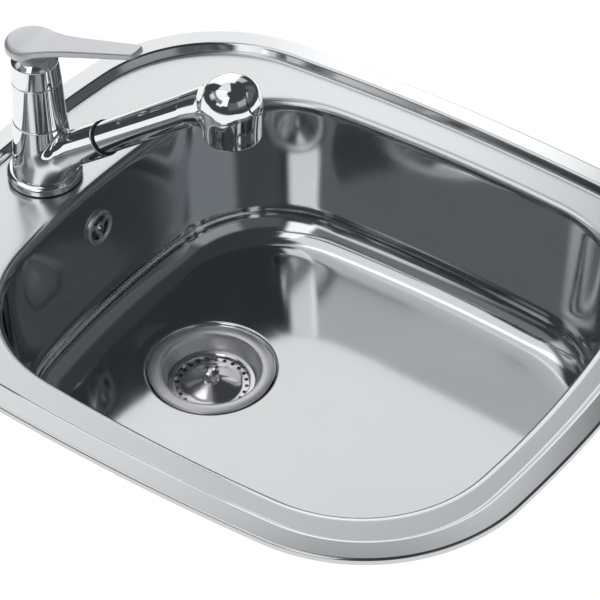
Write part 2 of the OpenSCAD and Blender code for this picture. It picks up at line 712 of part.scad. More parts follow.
// Pull-out spray head
tube_r = tube_d / 2;
tube_s = dock_s + 1.55 + free_gap;
head_r = head_d / 2;
face_r = head_r - 3.5;
face_depth = 8;
aerator_r = 9.2;
button_h = head_h * 0.52;
button_tilt = 20;
button_out = head_r - 0.2;
button_in = button_out - 6;
lens_w = 5.5;
lens_l = 9.5;
module button_form(grow, from, to) {
    r = (lens_w * lens_w + lens_l * lens_l) / (2 * lens_w);
    translate([0, 0, from]) linear_extrude(to - from) intersection() {
        translate([r - lens_w, 0]) circle(r = r + grow);
        translate([lens_w - r, 0]) circle(r = r + grow);
    }
}
module on_button() {
    on_head() translate([0, 0, button_h]) rotate([90 - button_tilt, 0, 0]) children();
}
module handset_shell() {
    fairing_s = (head_reach - 1.7 * head_r) / cos(spout_rise);
    fairing_r = tube_r - 0.2;
    joint_h = spout_root_h + head_reach * tan(spout_rise) - nozzle_h;
    color("gainsboro") difference() {
        union() {
            on_spout() translate([0, 0, tube_s]) cylinder(r = tube_r, h = fairing_s + 12 - tube_s);
            on_spout() translate([0, 0, sleeve_s - stem_tail])
                cylinder(r = stem_r, h = tube_s - sleeve_s + 2 * stem_tail);
            hull() {
                on_spout() translate([0, 0, fairing_s]) cylinder(r = fairing_r, h = 1, $fn = facet_fn);
                on_head() translate([0, 0, head_h * 0.54]) sphere(r = head_r - 2.3, $fn = 24);
            }
            on_head() rotate_extrude() polygon([
                [0, 0], [head_r - 0.8, 0], [head_r, 1], [head_r, head_h * 0.3],
                [head_r * 0.97, head_h * 0.46], [head_r * 0.89, head_h * 0.63],
                [head_r * 0.76, head_h * 0.78], [head_r * 0.57, head_h * 0.9],
                [head_r * 0.33, head_h * 0.975], [0, head_h]]);
        }
        on_spout() cylinder(r = hose_way_r, h = head_reach / cos(spout_rise));
        on_head() cylinder(r = hose_way_r + 1, h = joint_h);
        on_head() translate([0, 0, -1]) cylinder(r = face_r + 0.1, h = face_depth + 1);
        on_button() button_form(free_gap + 0.05, button_in - button_travel - 0.5, 60);
    }
}
module spray_face() {
    // A soft plate with two rings of nozzles round the stream outlet
    color("darkslategray") on_head() difference() {
        union() {
            translate([0, 0, 1.2]) cylinder(r = face_r, h = face_depth - 1.3);
            for (ring = [[face_r - 5.3, 14], [face_r - 2.2, 18]]) for (i = [0 : ring[1] - 1])
                rotate(i * 360 / ring[1]) translate([ring[0], 0, 0.2])
                    cylinder(r1 = 0.7, r2 = 1.1, h = 1.1, $fn = 16);
        }
        translate([0, 0, -1]) cylinder(r = aerator_r + 0.1, h = 12);
    }
}
module aerator() {
    color("gainsboro") on_head() difference() {
        translate([0, 0, 0.4]) cylinder(r = aerator_r, h = face_depth - 0.5);
        translate([0, 0, -1]) cylinder(r = aerator_r - 1.5, h = 3.4);
        for (ring = [[0, 1], [2.7, 6], [5.3, 12]]) for (i = [0 : ring[1] - 1])
            rotate(i * 360 / ring[1]) translate([ring[0], 0, 0]) cylinder(r = 0.9, h = 12, $fn = 16);
    }
}
module spray_button() {
    color("slategray") on_button() intersection() {
        button_form(0, button_in, 40);
        sphere(r = button_out);
    }
}

// Mixing cartridge and lever
pivot_h = housing_top + pivot_rise;
cavity_r = 14.2;
nut_bore_r = 16.2;
cavity_low = housing_low + 5.4;
shoulder_h = housing_top - 9;
rotor_r = 8.8;
neck_r = 11.2;
rotor_low = pivot_h - 15;
module cartridge_housing() {
    color("gainsboro") on_tap() difference() {
        rotate_extrude() polygon([
            [0, housing_low], [housing_r0 - 0.4, housing_low], [housing_r0, housing_low + 0.5],
            [housing_r1, housing_top - 0.5], [housing_r1 - 0.4, housing_top], [0, housing_top]]);
        translate([0, 0, housing_low - 1]) cylinder(r = column_r - 0.95, h = 6.4);
        translate([0, 0, cavity_low - 0.1]) cylinder(r = cavity_r, h = housing_top);
        translate([0, 0, shoulder_h]) cylinder(r = nut_bore_r, h = housing_top);
    }
}
module cartridge() {
    color("whitesmoke") on_tap() difference() {
        union() {
            translate([0, 0, cavity_low]) cylinder(r = cavity_r - 0.1, h = shoulder_h - cavity_low);
            cylinder(r = neck_r, h = shoulder_h + 6);
        }
        translate([0, 0, -1]) cylinder(r = 30, h = cavity_low + 1);
        for (a = [30, 150, 270]) rotate(a) translate([8, 0, cavity_low - 1])
            cylinder(r = 3, h = 12);
        translate([0, 0, rotor_low]) cylinder(r = rotor_r + run_gap, h = 40);
    }
}
module cartridge_nut() {
    color("goldenrod") on_tap() difference() {
        translate([0, 0, shoulder_h + seat_gap]) tube(nut_bore_r - 0.1, neck_r + 0.1, 7.5);
        for (i = [0 : 3]) rotate(i * 90) translate([neck_r + 1.5, -2, shoulder_h + 5])
            cube([nut_bore_r, 4, 5]);
    }
}
pin_r = 1.5;
spindle_w = 6;
module stem_guide() {
    color("ivory") on_tap() difference() {
        translate([0, 0, rotor_low + free_gap]) cylinder(r = rotor_r, h = pivot_h + 4 - rotor_low);
        translate([-spindle_w / 2 - free_gap, -20, pivot_h + spindle_low - 4])
            cube([spindle_w + 2 * free_gap, 40, 40]);
        translate([-20, 0, pivot_h]) rotate([0, 90, 0]) cylinder(r = pin_r + 0.02, h = 40);
    }
}
module spindle_pin() {
    color("silver") on_pivot() translate([-rotor_r + 1, 0, 0]) rotate([0, 90, 0])
        cylinder(r = pin_r, h = 2 * rotor_r - 2);
}
spindle_low = -7.5;
spindle_top = 27;
module spindle() {
    color("goldenrod") on_pivot() rotate([spindle_lean, 0, 0]) difference() {
        translate([-spindle_w / 2, -spindle_w / 2, spindle_low])
            cube([spindle_w, spindle_w, spindle_top - spindle_low]);
        translate([-10, 0, 0]) rotate([0, 90, 0]) cylinder(r = pin_r + run_gap, h = 20);
    }
}
cap_wall = 2;
cap_low = housing_top + seat_gap;
cap_r0 = housing_r1 - 0.1;
cap_r1 = cap_r0 - 0.9;
cap_open_r = 10.2;
module dome_cap() {
    // The domed top is round the pivot, so the lever slides over it at every lift
    join_h = pivot_h + sqrt(dome_r * dome_r - cap_r1 * cap_r1);
    color("gainsboro") difference() {
        union() {
            on_tap() rotate_extrude() polygon([
                [0, cap_low], [cap_r0 - 0.4, cap_low], [cap_r0, cap_low + 0.5],
                [cap_r1, join_h], [0, join_h]]);
            intersection() {
                on_pivot() sphere(r = dome_r);
                on_tap() translate([0, 0, join_h - 0.5]) cylinder(r = 60, h = 60);
            }
        }
        intersection() {
            on_pivot() sphere(r = dome_r - cap_wall);
            on_tap() translate([0, 0, cap_low - 1]) cylinder(r = cap_r1 - cap_wall, h = 60);
        }
        on_pivot() cylinder(r = cap_open_r, h = 60);
    }
}
lever_root_r = lever_root_d / 2;
lever_low = dome_r + 1;
lever_top = lever_low + 7.6;
grub_h = pivot_h + lever_low + 3;
grub_r = 1.6;
lever_boss_r = 5.6;
blade_h = lever_low + 0.9;
tip_l = lever_reach / cos(lever_rise);
tip_half = lever_tip_w / 2;
tip_corner_r = 3;
module blade() {
    // Plan and side view of the blade, drawn flat and crossed with each other
    waist = tip_half + 3.4;
    plan = concat(
        [[lever_root_r - 2.6, 0], [lever_root_r - 2.9, -0.12 * tip_l], [waist + 0.4, -0.24 * tip_l],
         [waist - 1.4, -0.55 * tip_l], [tip_half + 0.4, -0.88 * tip_l]],
        [for (a = [0 : 15 : 90]) [tip_half - tip_corner_r + tip_corner_r * cos(a),
            -tip_l + tip_corner_r - tip_corner_r * sin(a)]]);
    both = concat(plan, [for (i = [len(plan) - 1 : -1 : 0]) [-plan[i][0], plan[i][1]]]);
    side = [[0, 0.3], [-20, 0], [-tip_l, 0.4], [-tip_l - 1, 1.8], [-tip_l, 4.3], [-45, 4.8],
        [-20, 4.8], [0, 4.8]];
    intersection() {
        translate([0, 0, -5]) linear_extrude(15) polygon(both);
        rotate([90, 0, 90]) translate([0, 0, -30]) linear_extrude(60) polygon(side);
    }
}
module lever() {
    // The flat underside stays 1 mm clear of the dome at every lift
    color("lightgray") on_pivot() difference() {
        union() {
            rotate_extrude() polygon([
                [0, lever_low], [lever_root_r - 1, lever_low], [lever_root_r, lever_low + 1],
                [lever_root_r, lever_top - 2.8], [lever_root_r - 0.8, lever_top - 1.4],
                [lever_root_r - 2.6, lever_top - 0.6], [lever_root_r - 7, lever_top - 0.1],
                [0, lever_top]]);
            translate([0, 0, blade_h]) rotate([-lever_rise, 0, 0]) blade();
            rotate([spindle_lean, 0, 0]) translate([0, 0, dome_r + 0.5])
                cylinder(r = lever_boss_r, h = spindle_top - dome_r - 0.5);
        }
        rotate([spindle_lean, 0, 0])
            translate([-spindle_w / 2 - 0.05, -spindle_w / 2 - 0.05, 0])
            cube([spindle_w + 0.1, spindle_w + 0.1, spindle_top + 0.3]);
        translate([0, -2, grub_h - pivot_h]) rotate([-90, 0, 0])
            cylinder(r = grub_r + 0.05, h = lever_root_d);
    }
}
module lever_grub_screw() {
    color("dimgray") on_tap() translate([0, -1, grub_h]) rotate([-90, 0, 0]) difference() {
        cylinder(r = grub_r, h = 8);
        translate([0, 0, 5.5]) cylinder(r = 0.9, h = 4, $fn = 6);
    }
}
module index_plug() {
    color("slategray") on_tap() translate([0, lever_root_r - 5, grub_h]) rotate([-90, 0, 0])
        cylinder(r = grub_r, h = 4.6);
}

// Under the deck: a plate open at the back for the hoses, on one threaded stud
washer_t = 3;
clamp_t = 2.5;
washer_r = 26;
stud_len = 32;
clamp_gap = 27;
module clamp_form(r, t) {
    difference() {
        cylinder(r = r, h = t);
        translate([-clamp_gap / 2, inlet_y - inlet_r - 0.3, -1])
            cube([clamp_gap, r + inlet_r, t + 2]);
        translate([0, stud_y, -1]) cylinder(r = stud_r + 0.3, h = t + 2);
    }
}
module deck_washer() {
    color("dimgray") on_tap() translate([0, 0, -sheet_t - washer_t])
        clamp_form(washer_r, washer_t - 0.05);
}
module clamp_plate() {
    color("darkgray") on_tap() translate([0, 0, -sheet_t - washer_t - clamp_t])
        clamp_form(washer_r - 1, clamp_t - 0.05);
}
module mounting_stud() {
    color("goldenrod") on_tap() translate([0, stud_y, spigot_low + socket_depth - 3.2 - stud_len])
        cylinder(r = stud_r, h = stud_len);
}
module stud_nut() {
    nut_h = 14;
    color("goldenrod") on_tap() difference() {
        translate([0, stud_y, -sheet_t - washer_t - clamp_t - nut_h]) union() {
            cylinder(r = 7.5, h = nut_h - 0.05, $fn = 6);
            translate([0, 0, nut_h - 2.5]) cylinder(r = 8, h = 2.45);
        }
        translate([0, stud_y, -60]) cylinder(r = stud_r + run_gap, h = 70);
    }
}

sink_body();
rim_seal();
clip_brackets();
clip_arms();
clip_screws();
flange_seal();
waste_flange();
strainer_basket();
basket_post();
stopper_seal();
waste_gasket();
waste_body();
waste_tail();
waste_nut();
waste_screw();
overflow_rosette();
overflow_screw();
overflow_gasket();
overflow_elbow();
overflow_pipe();
overflow_nuts();
base_gasket();
base_ring();
inner_column();
swivel_bushes();
spout_body();
dock_sleeve();
handset_shell();
spray_face();
aerator();
spray_button();
cartridge_housing();
cartridge();
cartridge_nut();
stem_guide();
spindle_pin();
spindle();
dome_cap();
lever();
lever_grub_screw();
index_plug();
deck_washer();
clamp_plate();
mounting_stud();
stud_nut();
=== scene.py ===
"""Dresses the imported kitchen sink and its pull-out mixer for a studio picture.

The CAD frame gives every place and size. Lengths here are millimetres until a
mesh is made, which holds metres. Each surface is worked out with numpy as whole
arrays: a grid of two parameters, a profile turned round an axis, or the skin of
a blended solid where two pieces of a casting flow into one another.
"""

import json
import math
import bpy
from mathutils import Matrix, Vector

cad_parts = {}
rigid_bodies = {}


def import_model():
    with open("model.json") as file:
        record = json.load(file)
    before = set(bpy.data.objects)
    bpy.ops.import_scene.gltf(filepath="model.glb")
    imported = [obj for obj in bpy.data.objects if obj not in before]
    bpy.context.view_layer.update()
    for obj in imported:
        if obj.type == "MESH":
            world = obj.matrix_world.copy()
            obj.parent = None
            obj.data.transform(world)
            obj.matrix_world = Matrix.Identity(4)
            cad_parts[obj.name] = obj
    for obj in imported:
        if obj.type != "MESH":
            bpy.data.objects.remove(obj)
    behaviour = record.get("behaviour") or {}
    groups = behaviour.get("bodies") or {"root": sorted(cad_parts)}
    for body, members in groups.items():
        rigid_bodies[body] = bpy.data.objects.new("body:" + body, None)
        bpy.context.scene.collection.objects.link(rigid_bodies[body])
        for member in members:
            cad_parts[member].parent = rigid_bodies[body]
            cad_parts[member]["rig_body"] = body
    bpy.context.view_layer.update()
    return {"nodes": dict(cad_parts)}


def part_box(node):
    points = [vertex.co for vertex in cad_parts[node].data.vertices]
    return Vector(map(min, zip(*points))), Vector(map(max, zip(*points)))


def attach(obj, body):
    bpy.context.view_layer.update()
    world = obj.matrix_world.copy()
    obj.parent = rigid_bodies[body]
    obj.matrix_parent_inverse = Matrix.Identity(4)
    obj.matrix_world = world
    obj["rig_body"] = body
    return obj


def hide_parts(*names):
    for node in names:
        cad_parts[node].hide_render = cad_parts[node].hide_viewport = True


bl_info = {
    "name": "Kitchen sink dressing",
    "version": (1, 0, 0),
    "blender": (4, 5, 0),
    "location": "View3D > Sidebar > Sink",
    "description": "Builds the steel, chrome and stage round a packed sink and mixer",
    "category": "Add Mesh",
}

import bmesh
import bpy
import numpy as np
from mathutils import Matrix

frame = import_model()
MM = 0.001

# ---------------------------------------------------------------- places

# Sizes without a comment of their own are the part's, as its source states them
SHEET_LOW, SHEET_HIGH = [np.array(c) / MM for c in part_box("sink_body")]
SINK_HALF = (SHEET_HIGH - SHEET_LOW)[:2] / 2
RIM_TOP = float(SHEET_HIGH[2])
LIP_Z = 0.5
DECK_Z = -1.6
BOWL_DEPTH = 124.0
FLOOR_Z = DECK_Z - BOWL_DEPTH
BOWL_X, BOWL_Y = -4.0, -27.2
BOWL_HALF = (182, 199.5)
EDGE_R = 6.0
FLOOR_R = 30.0
DRAFT = math.radians(2.5)
DRAIN_AT = np.array([BOWL_X, 64.0])
FLOOR_FALL = 1.8
RECESS_Z = FLOOR_Z - FLOOR_FALL
SEAT_Z = RECESS_Z - 2.5
RECESS_R = 50.0
DRAIN_HOLE_R = 42.0
TAP_HOLE_R = 17.5
OVERFLOW_HOLE_R = 11.0
OVERFLOW_Z = -39.0
SPOUT_RISE = 38
SPOUT_FOOT = 14.5
HEAD_REACH, HEAD_UP = 172.7, 121.7
PIVOT_UP = 92
BUTTON_TILT = 20
BUTTON_UP = 22.36


def tilt_x(degrees):
    """Rotation matrix about X, as OpenSCAD's rotate([degrees, 0, 0])."""
    c, s = math.cos(math.radians(degrees)), math.sin(math.radians(degrees))
    return np.array([[1, 0, 0], [0, c, -s], [0, s, c]])


TAP_AT = np.array([-12.0, 205.0, DECK_Z])
TAP = (np.eye(3), TAP_AT)
SPOUT = (tilt_x(90 - SPOUT_RISE), TAP_AT + [0, 0, SPOUT_FOOT])
HEAD = (np.eye(3), TAP_AT + [0, -HEAD_REACH, HEAD_UP])
PIVOT = (np.eye(3), TAP_AT + [0, 0, PIVOT_UP])
BUTTON = (tilt_x(90 - BUTTON_TILT), HEAD[1] + [0, 0, BUTTON_UP])


def placed(points, place):
    """Points of a piece's own frame in the row frame: turn, then move."""
    turn, at = place
    return points @ turn.T + at


# ---------------------------------------------------------------- surfaces


def grid_faces(rows, columns, closed=False):
    """Quads of a grid whose last column joins the first, and if closed its last row too."""
    r = np.arange(rows if closed else rows - 1)[:, None]
    c = np.arange(columns)[None, :]
    right, below = (c + 1) % columns, (r + 1) % rows
    return np.stack([r * columns + c, r * columns + right, below * columns + right,
                     below * columns + c], -1).reshape(-1, 4)


def softened(corners, radii, steps=5, closed=False):
    """A polyline with its corners rounded: each corner is a parabola between points
    one radius before and behind it, with one more point on either side, so that the
    straight runs stay straight when they are shaded smooth."""
    p = np.asarray(corners, float)
    radius = np.broadcast_to(np.asarray(radii, float), len(p))[:, None]
    before, after = np.roll(p, 1, 0) - p, np.roll(p, -1, 0) - p
    if not closed:
        before[0], after[-1] = after[0] * 0, before[-1] * 0
    len_in = np.linalg.norm(before, axis=1, keepdims=True)
    len_out = np.linalg.norm(after, axis=1, keepdims=True)
    cut = np.minimum(radius, 0.4 * np.minimum(len_in, len_out))
    if not closed:
        cut[[0, -1]] = 0
    with np.errstate(invalid="ignore"):
        u_in, u_out = np.nan_to_num(before / len_in), np.nan_to_num(after / len_out)
    t = np.linspace(0, 1, steps + 1)[None, :, None]
    start, end = (p + u_in * cut)[:, None], (p + u_out * cut)[:, None]
    curve = (1 - t) ** 2 * start + 2 * t * (1 - t) * p[:, None] + t * t * end
    lead = (p + u_in * cut * 1.2)[:, None]
    trail = (p + u_out * cut * 1.2)[:, None]
    every = np.concatenate([lead, curve, trail], 1)
    if closed:
        return every.reshape(-1, 2)
    return np.concatenate([p[:1], every[1:-1].reshape(-1, 2), p[-1:]])


def turned(profile, steps):
    """A profile (r, z) turned round Z: x = r cos a, y = r sin a."""
    a = np.linspace(0, 2 * math.pi, steps, endpoint=False)
    r, z = profile[:, :1], profile[:, 1:]
    points = np.stack([r * np.cos(a), r * np.sin(a), z + 0 * a], -1)
    return points.reshape(-1, 3)


def smooth_min(a, b, k):
    """The smaller of two fields, with a fillet of about k where they meet."""
    h = np.clip(0.5 + 0.5 * (b - a) / k, 0, 1)
    return b + (a - b) * h - k * h * (1 - h)


def smooth_max(a, b, k):
    """The greater of two fields, with its edge rounded by about k."""
    return -smooth_min(-a, -b, k)


def smooth_step(x):
    """Eases from 0 to 1 as x goes from 0 to 1."""
    t = np.clip(x, 0, 1)
    return t * t * (3 - 2 * t)


def along(p, place):
    """Points of the row frame in a piece's own frame."""
    turn, at = place
    return (p - at) @ turn


def from_axis(q):
    """Distance of points from the Z axis of their frame."""
    return np.hypot(q[:, 0], q[:, 1])


def slope_of(field, p, h=0.02):
    """The field's gradient at each point, by central differences."""
    parts = [field(p + h * e) - field(p - h * e) for e in np.eye(3)]
    return np.stack(parts, -1) / (2 * h)


def sign_changes(f, grid, step):
    """Where a field changes sign between neighbours along each axis of a grid. Returns
    each cell's sum and count of the crossings on its edges, and the marks by axis."""
    cells = tuple(n - 1 for n in f.shape)
    total, count, marks = np.zeros(cells + (3,)), np.zeros(cells), []
    for axis in range(3):
        lo_cut = tuple(slice(0, -1) if i == axis else slice(None) for i in range(3))
        hi_cut = tuple(slice(1, None) if i == axis else slice(None) for i in range(3))
        f0, f1 = f[lo_cut], f[hi_cut]
        hit = (f0 < 0) != (f1 < 0)
        t = np.where(hit, f0 / np.where(hit, f0 - f1, 1), 0)
        at = grid[lo_cut].copy()
        at[..., axis] += t * step
        at *= hit[..., None]
        u, v = (axis + 1) % 3, (axis + 2) % 3
        for du in (0, 1):
            for dv in (0, 1):
                cut = [slice(None)] * 3
                cut[u] = slice(du, du + cells[u])
                cut[v] = slice(dv, dv + cells[v])
                total += at[tuple(cut)]
                count += hit[tuple(cut)]
        marks.append((u, v, hit, f0 < 0))
    return total, count, marks


def joined_across(index, marks):
    """A quad across each crossed edge, of the points in the four cells round it."""
    quads = []
    for u, v, hit, leaves in marks:
        inner = [slice(None)] * 3
        inner[u], inner[v] = slice(1, -1), slice(1, -1)
        where = np.argwhere(hit[tuple(inner)])
        where[:, u] += 1
        where[:, v] += 1
        du, dv = np.eye(3, dtype=int)[u], np.eye(3, dtype=int)[v]
        quad = np.stack([index[tuple((where - a * du - b * dv).T)]
                         for a, b in ((1, 1), (0, 1), (0, 0), (1, 0))], -1)
        out = leaves[tuple(where.T)]
        quads += [quad[out], quad[~out][:, ::-1]]
    return np.concatenate(quads)


def evened(points, quads):
    """Each point taken half way to the mean of its neighbours in the net."""
    ends = np.concatenate([quads[:, [i, (i + 1) % 4]] for i in range(4)])
    mean, n = np.zeros_like(points), np.zeros(len(points))
    np.add.at(mean, ends[:, 0], points[ends[:, 1]])
    np.add.at(n, ends[:, 0], 1)
    return 0.5 * points + 0.5 * mean / n[:, None]


def skin(field, low, high, step, rounds=4):
    """The surface where a field is zero: one point for each cell that it crosses, the
    mean of the crossings on the cell's edges, joined across each crossed edge. Each
    round but the last then evens the net, and all take it along the slope to zero."""
    axes = [np.arange(lo, hi + step, step) for lo, hi in zip(low, high)]
    grid = np.stack(np.meshgrid(*axes, indexing="ij"), -1)
    f = field(grid.reshape(-1, 3)).reshape(grid.shape[:3])
    total, count, marks = sign_changes(f, grid, step)
    index = np.full(count.shape, -1)
    index[count > 0] = np.arange(int((count > 0).sum()))
    points = total[count > 0] / count[count > 0][:, None]
    quads = joined_across(index, marks)
    for turn in range(rounds):
        if turn < rounds - 1:
            points = evened(points, quads)
        for _ in range(2):
            g = slope_of(field, points)
            pull = field(points)[:, None] * g / np.maximum((g * g).sum(-1, keepdims=True), 0.05)
            points = points - np.clip(pull, -step, step)
    g = slope_of(field, points)
    return points, quads, g / np.linalg.norm(g, axis=1, keepdims=True)


# ---------------------------------------------------------------- pieces

# Distances in metres within which two corners are one
SAME_POINT = 1e-7
LOOSE_TRIANGLES = 2e-6
TURNED_STEPS = 128


def put_in_scene(mesh, name, finish, body, stands_for):
    """Links a finished mesh, ties it to its body and hides the nodes it stands for."""
    mesh.materials.append(finish)
    piece = bpy.data.objects.new(name, mesh)
    bpy.context.scene.collection.objects.link(piece)
    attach(piece, body)
    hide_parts(*stands_for)


def make_piece(name, points, quads, finish, body, stands_for, normals=None,
               weld=False, sharp=None):
    """Puts numpy points (mm) and quads into a mesh that rides on its CAD body."""
    mesh = bpy.data.meshes.new(name)
    mesh.vertices.add(len(points))
    mesh.vertices.foreach_set("co", (np.asarray(points) * MM).astype(np.float32).ravel())
    mesh.loops.add(quads.size)
    mesh.loops.foreach_set("vertex_index", quads.astype(np.int32).ravel())
    mesh.polygons.add(len(quads))
    mesh.polygons.foreach_set("loop_start", np.arange(0, quads.size, 4, dtype=np.int32))
    mesh.update(calc_edges=True)
    if weld:
        bm = bmesh.new()
        bm.from_mesh(mesh)
        bmesh.ops.remove_doubles(bm, verts=bm.verts, dist=SAME_POINT)
        bmesh.ops.recalc_face_normals(bm, faces=bm.faces)
        bm.to_mesh(mesh)
        bm.free()
    mesh.polygons.foreach_set("use_smooth", np.ones(len(mesh.polygons), bool))
    if sharp is not None:
        mesh.set_sharp_from_angle(angle=math.radians(sharp))
    if normals is not None:
        mesh.normals_split_custom_set_from_vertices(normals)
    put_in_scene(mesh, name, finish, body, stands_for)


def turned_piece(name, profile, place, finish, body, stands_for):
    """A closed profile, anticlockwise in (r, z), turned on a lathe."""
    points = placed(turned(profile, TURNED_STEPS), place)
    quads = grid_faces(len(profile), TURNED_STEPS, closed=True)
    make_piece(name, points, quads, finish, body, stands_for, weld=True)


def joined_copy(node, name, finish, angle=32):
    """A CAD node with its loose triangles joined, so that its round faces shade smooth."""
    mesh = frame["nodes"][node].data.copy()
    mesh.name = name
    bm = bmesh.new()
    bm.from_mesh(mesh)
    bmesh.ops.remove_doubles(bm, verts=bm.verts, dist=LOOSE_TRIANGLES)
    bmesh.ops.dissolve_degenerate(bm, edges=bm.edges, dist=SAME_POINT)
    bm.to_mesh(mesh)
    bm.free()
    flat_normals = mesh.attributes.get("custom_normal")
    if flat_normals:
        mesh.attributes.remove(flat_normals)
    mesh.polygons.foreach_set("use_smooth", np.ones(len(mesh.polygons), bool))
    mesh.set_sharp_from_angle(angle=math.radians(angle))
    mesh.materials.clear()
    put_in_scene(mesh, name, finish, frame["nodes"][node]["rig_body"], [node])


# ---------------------------------------------------------------- finishes

# Depth of the grain's relief in metres
GRAIN_DEPTH = 0.0002

# Heights in metres between which the deck's brushing sets in and ends
BRUSHED_FROM = (-0.006, -0.003)
BRUSHED_TO = (0.001, -0.0005)

# Finishes without a setting of their own: what finish_of is given for each
FINISHES = {
    "polished_steel": dict(colour=(0.74, 0.74, 0.75), metallic=1, roughness=0.14,
                           mottle=0.03, bump=0.01),
    "brushed_steel": dict(colour=(0.86, 0.86, 0.87), metallic=1, roughness=0.36,
                          mottle=0.03, bump=0),
    "machined_brass": dict(colour=(0.68, 0.5, 0.22), metallic=1, roughness=0.3,
                           grain=(200, 200, 6000), bump=0.05),
    "zinc": dict(colour=(0.6, 0.61, 0.62), metallic=1, roughness=0.38, mottle=0.12,
                 mottle_scale=300, bump=0.03),
    "black_rubber": dict(colour=(0.035, 0.035, 0.037), metallic=0, roughness=0.65,
                         mottle=0.2, bump=0.1),
    "seal_foam": dict(colour=(0.1, 0.1, 0.1), metallic=0, roughness=0.85, mottle=0.25,
                      mottle_scale=900, bump=0.3),
    "white_plastic": dict(colour=(0.8, 0.8, 0.78), metallic=0, roughness=0.42,
                          mottle=0.02, bump=0.06),
    "bearing_plastic": dict(colour=(0.76, 0.72, 0.6), metallic=0, roughness=0.45,
                            bump=0.04),
    "dark_plastic": dict(colour=(0.03, 0.032, 0.036), metallic=0, roughness=0.4,
                         mottle=0.15, bump=0.08),
}


class Wiring:
    """Adds nodes to a tree: each call makes one and joins or sets its inputs."""

    def __init__(self, tree):
        self.tree = tree

    def node(self, kind, *inputs, output=0, **settings):
        made = self.tree.nodes.new(kind)
        for key, value in settings.items():
            setattr(made, key, value)
        for socket, value in zip(made.inputs, inputs):
            if isinstance(value, bpy.types.NodeSocket):
                self.tree.links.new(value, socket)
            elif value is not None:
                socket.default_value = value
        return made.outputs[output]

    def math(self, operation, *inputs):
        return self.node("ShaderNodeMath", *inputs, operation=operation)

    def ramp(self, value, start, end, top=1.0):
        """Rises smoothly from 0 at start to top at end, whichever is the greater."""
        return self.node("ShaderNodeMapRange", value, start, end, 0.0, top,
                         interpolation_type="SMOOTHSTEP")


def add_grain(material, where, grain, strength):
    """A relief of fine noise, stretched by the three numbers of grain."""
    nodes, links = material.node_tree.nodes, material.node_tree.links
    stretch = nodes.new("ShaderNodeMapping")
    stretch.inputs["Scale"].default_value = grain
    fine = nodes.new("ShaderNodeTexNoise")
    fine.inputs["Scale"].default_value = 1.0
    fine.inputs["Detail"].default_value = 2
    relief = nodes.new("ShaderNodeBump")
    relief.inputs["Strength"].default_value = strength
    relief.inputs["Distance"].default_value = GRAIN_DEPTH
    links.new(where.outputs["Object"], stretch.inputs["Vector"])
    links.new(stretch.outputs["Vector"], fine.inputs["Vector"])
    links.new(fine.outputs["Fac"], relief.inputs["Height"])
    links.new(relief.outputs["Normal"], nodes["Principled BSDF"].inputs["Normal"])


def finish_of(name, colour, metallic, roughness, mottle=0.05, mottle_scale=60.0,
              wear=0.03, grain=(2500, 2500, 2500), bump=0.02):
    """A procedural finish: the colour varies by mottle and the roughness by wear, both
    with a soft noise in the piece's own coordinates, and a fine noise gives its grain."""
    own_name = "fine_" + name
    material = bpy.data.materials.get(own_name)
    if material:
        return material
    material = bpy.data.materials.new(own_name)
    material.use_nodes = True
    nodes, links = material.node_tree.nodes, material.node_tree.links
    shader = nodes["Principled BSDF"]
    shader.inputs["Metallic"].default_value = metallic
    where = nodes.new("ShaderNodeTexCoord")
    cloud = nodes.new("ShaderNodeTexNoise")
    cloud.inputs["Scale"].default_value = mottle_scale
    cloud.inputs["Detail"].default_value = 3
    links.new(where.outputs["Object"], cloud.inputs["Vector"])
    tone = nodes.new("ShaderNodeMix")
    tone.data_type = "RGBA"
    dark = [c * (1 - mottle) for c in colour]
    light = [min(1.0, c * (1 + mottle)) for c in colour]
    tone.inputs["A"].default_value = (*dark, 1)
    tone.inputs["B"].default_value = (*light, 1)
    links.new(cloud.outputs["Fac"], tone.inputs["Factor"])
    links.new(tone.outputs["Result"], shader.inputs["Base Color"])
    spread = nodes.new("ShaderNodeMapRange")
    spread.inputs["To Min"].default_value = roughness - wear
    spread.inputs["To Max"].default_value = roughness + wear
    links.new(cloud.outputs["Fac"], spread.inputs["Value"])
    links.new(spread.outputs["Result"], shader.inputs["Roughness"])
    if bump:
        add_grain(material, where, grain, bump)
    return material


def finish(name):
    """One of the finishes in the list above."""
    return finish_of(name, **FINISHES[name])


def satin_steel():
    """Smooth in the bowl and on the rim, and brushed rougher on the deck between them."""
    c = bpy.context.scene.sink_colours
    material = finish_of("satin_steel", c.steel, 1.0, c.steel_roughness, mottle=0.03,
                         mottle_scale=25, wear=0.02, bump=0)
    wires = Wiring(material.node_tree)
    rough = material.node_tree.nodes["Principled BSDF"].inputs["Roughness"]
    smooth = rough.links[0].from_socket
    height = wires.node("ShaderNodeSeparateXYZ", wires.node("ShaderNodeTexCoord", output=3),
                        output=2)
    brushed = wires.math("MULTIPLY", wires.ramp(height, *BRUSHED_FROM, c.deck_brushing),
                         wires.ramp(height, *BRUSHED_TO))
    material.node_tree.links.new(wires.math("ADD", smooth, brushed), rough)
    return material


def chrome():
    """Bright plating, as smooth as a mirror."""
    c = bpy.context.scene.sink_colours
    return finish_of("chrome", c.chrome, 1.0, 0.05, mottle=0.02, wear=0.015, bump=0)


def satin_chrome():
    """The lever's dull plating."""
    c = bpy.context.scene.sink_colours
    return finish_of("satin_chrome", c.lever, 1.0, 0.5, mottle=0.02, wear=0.02, bump=0)


def grey_plastic():
    """The lever's index plug."""
    c = bpy.context.scene.sink_colours
    return finish_of("grey_plastic", c.plug, 0.0, 0.28, mottle=0.03, bump=0.02)


# ---------------------------------------------------------------- settings


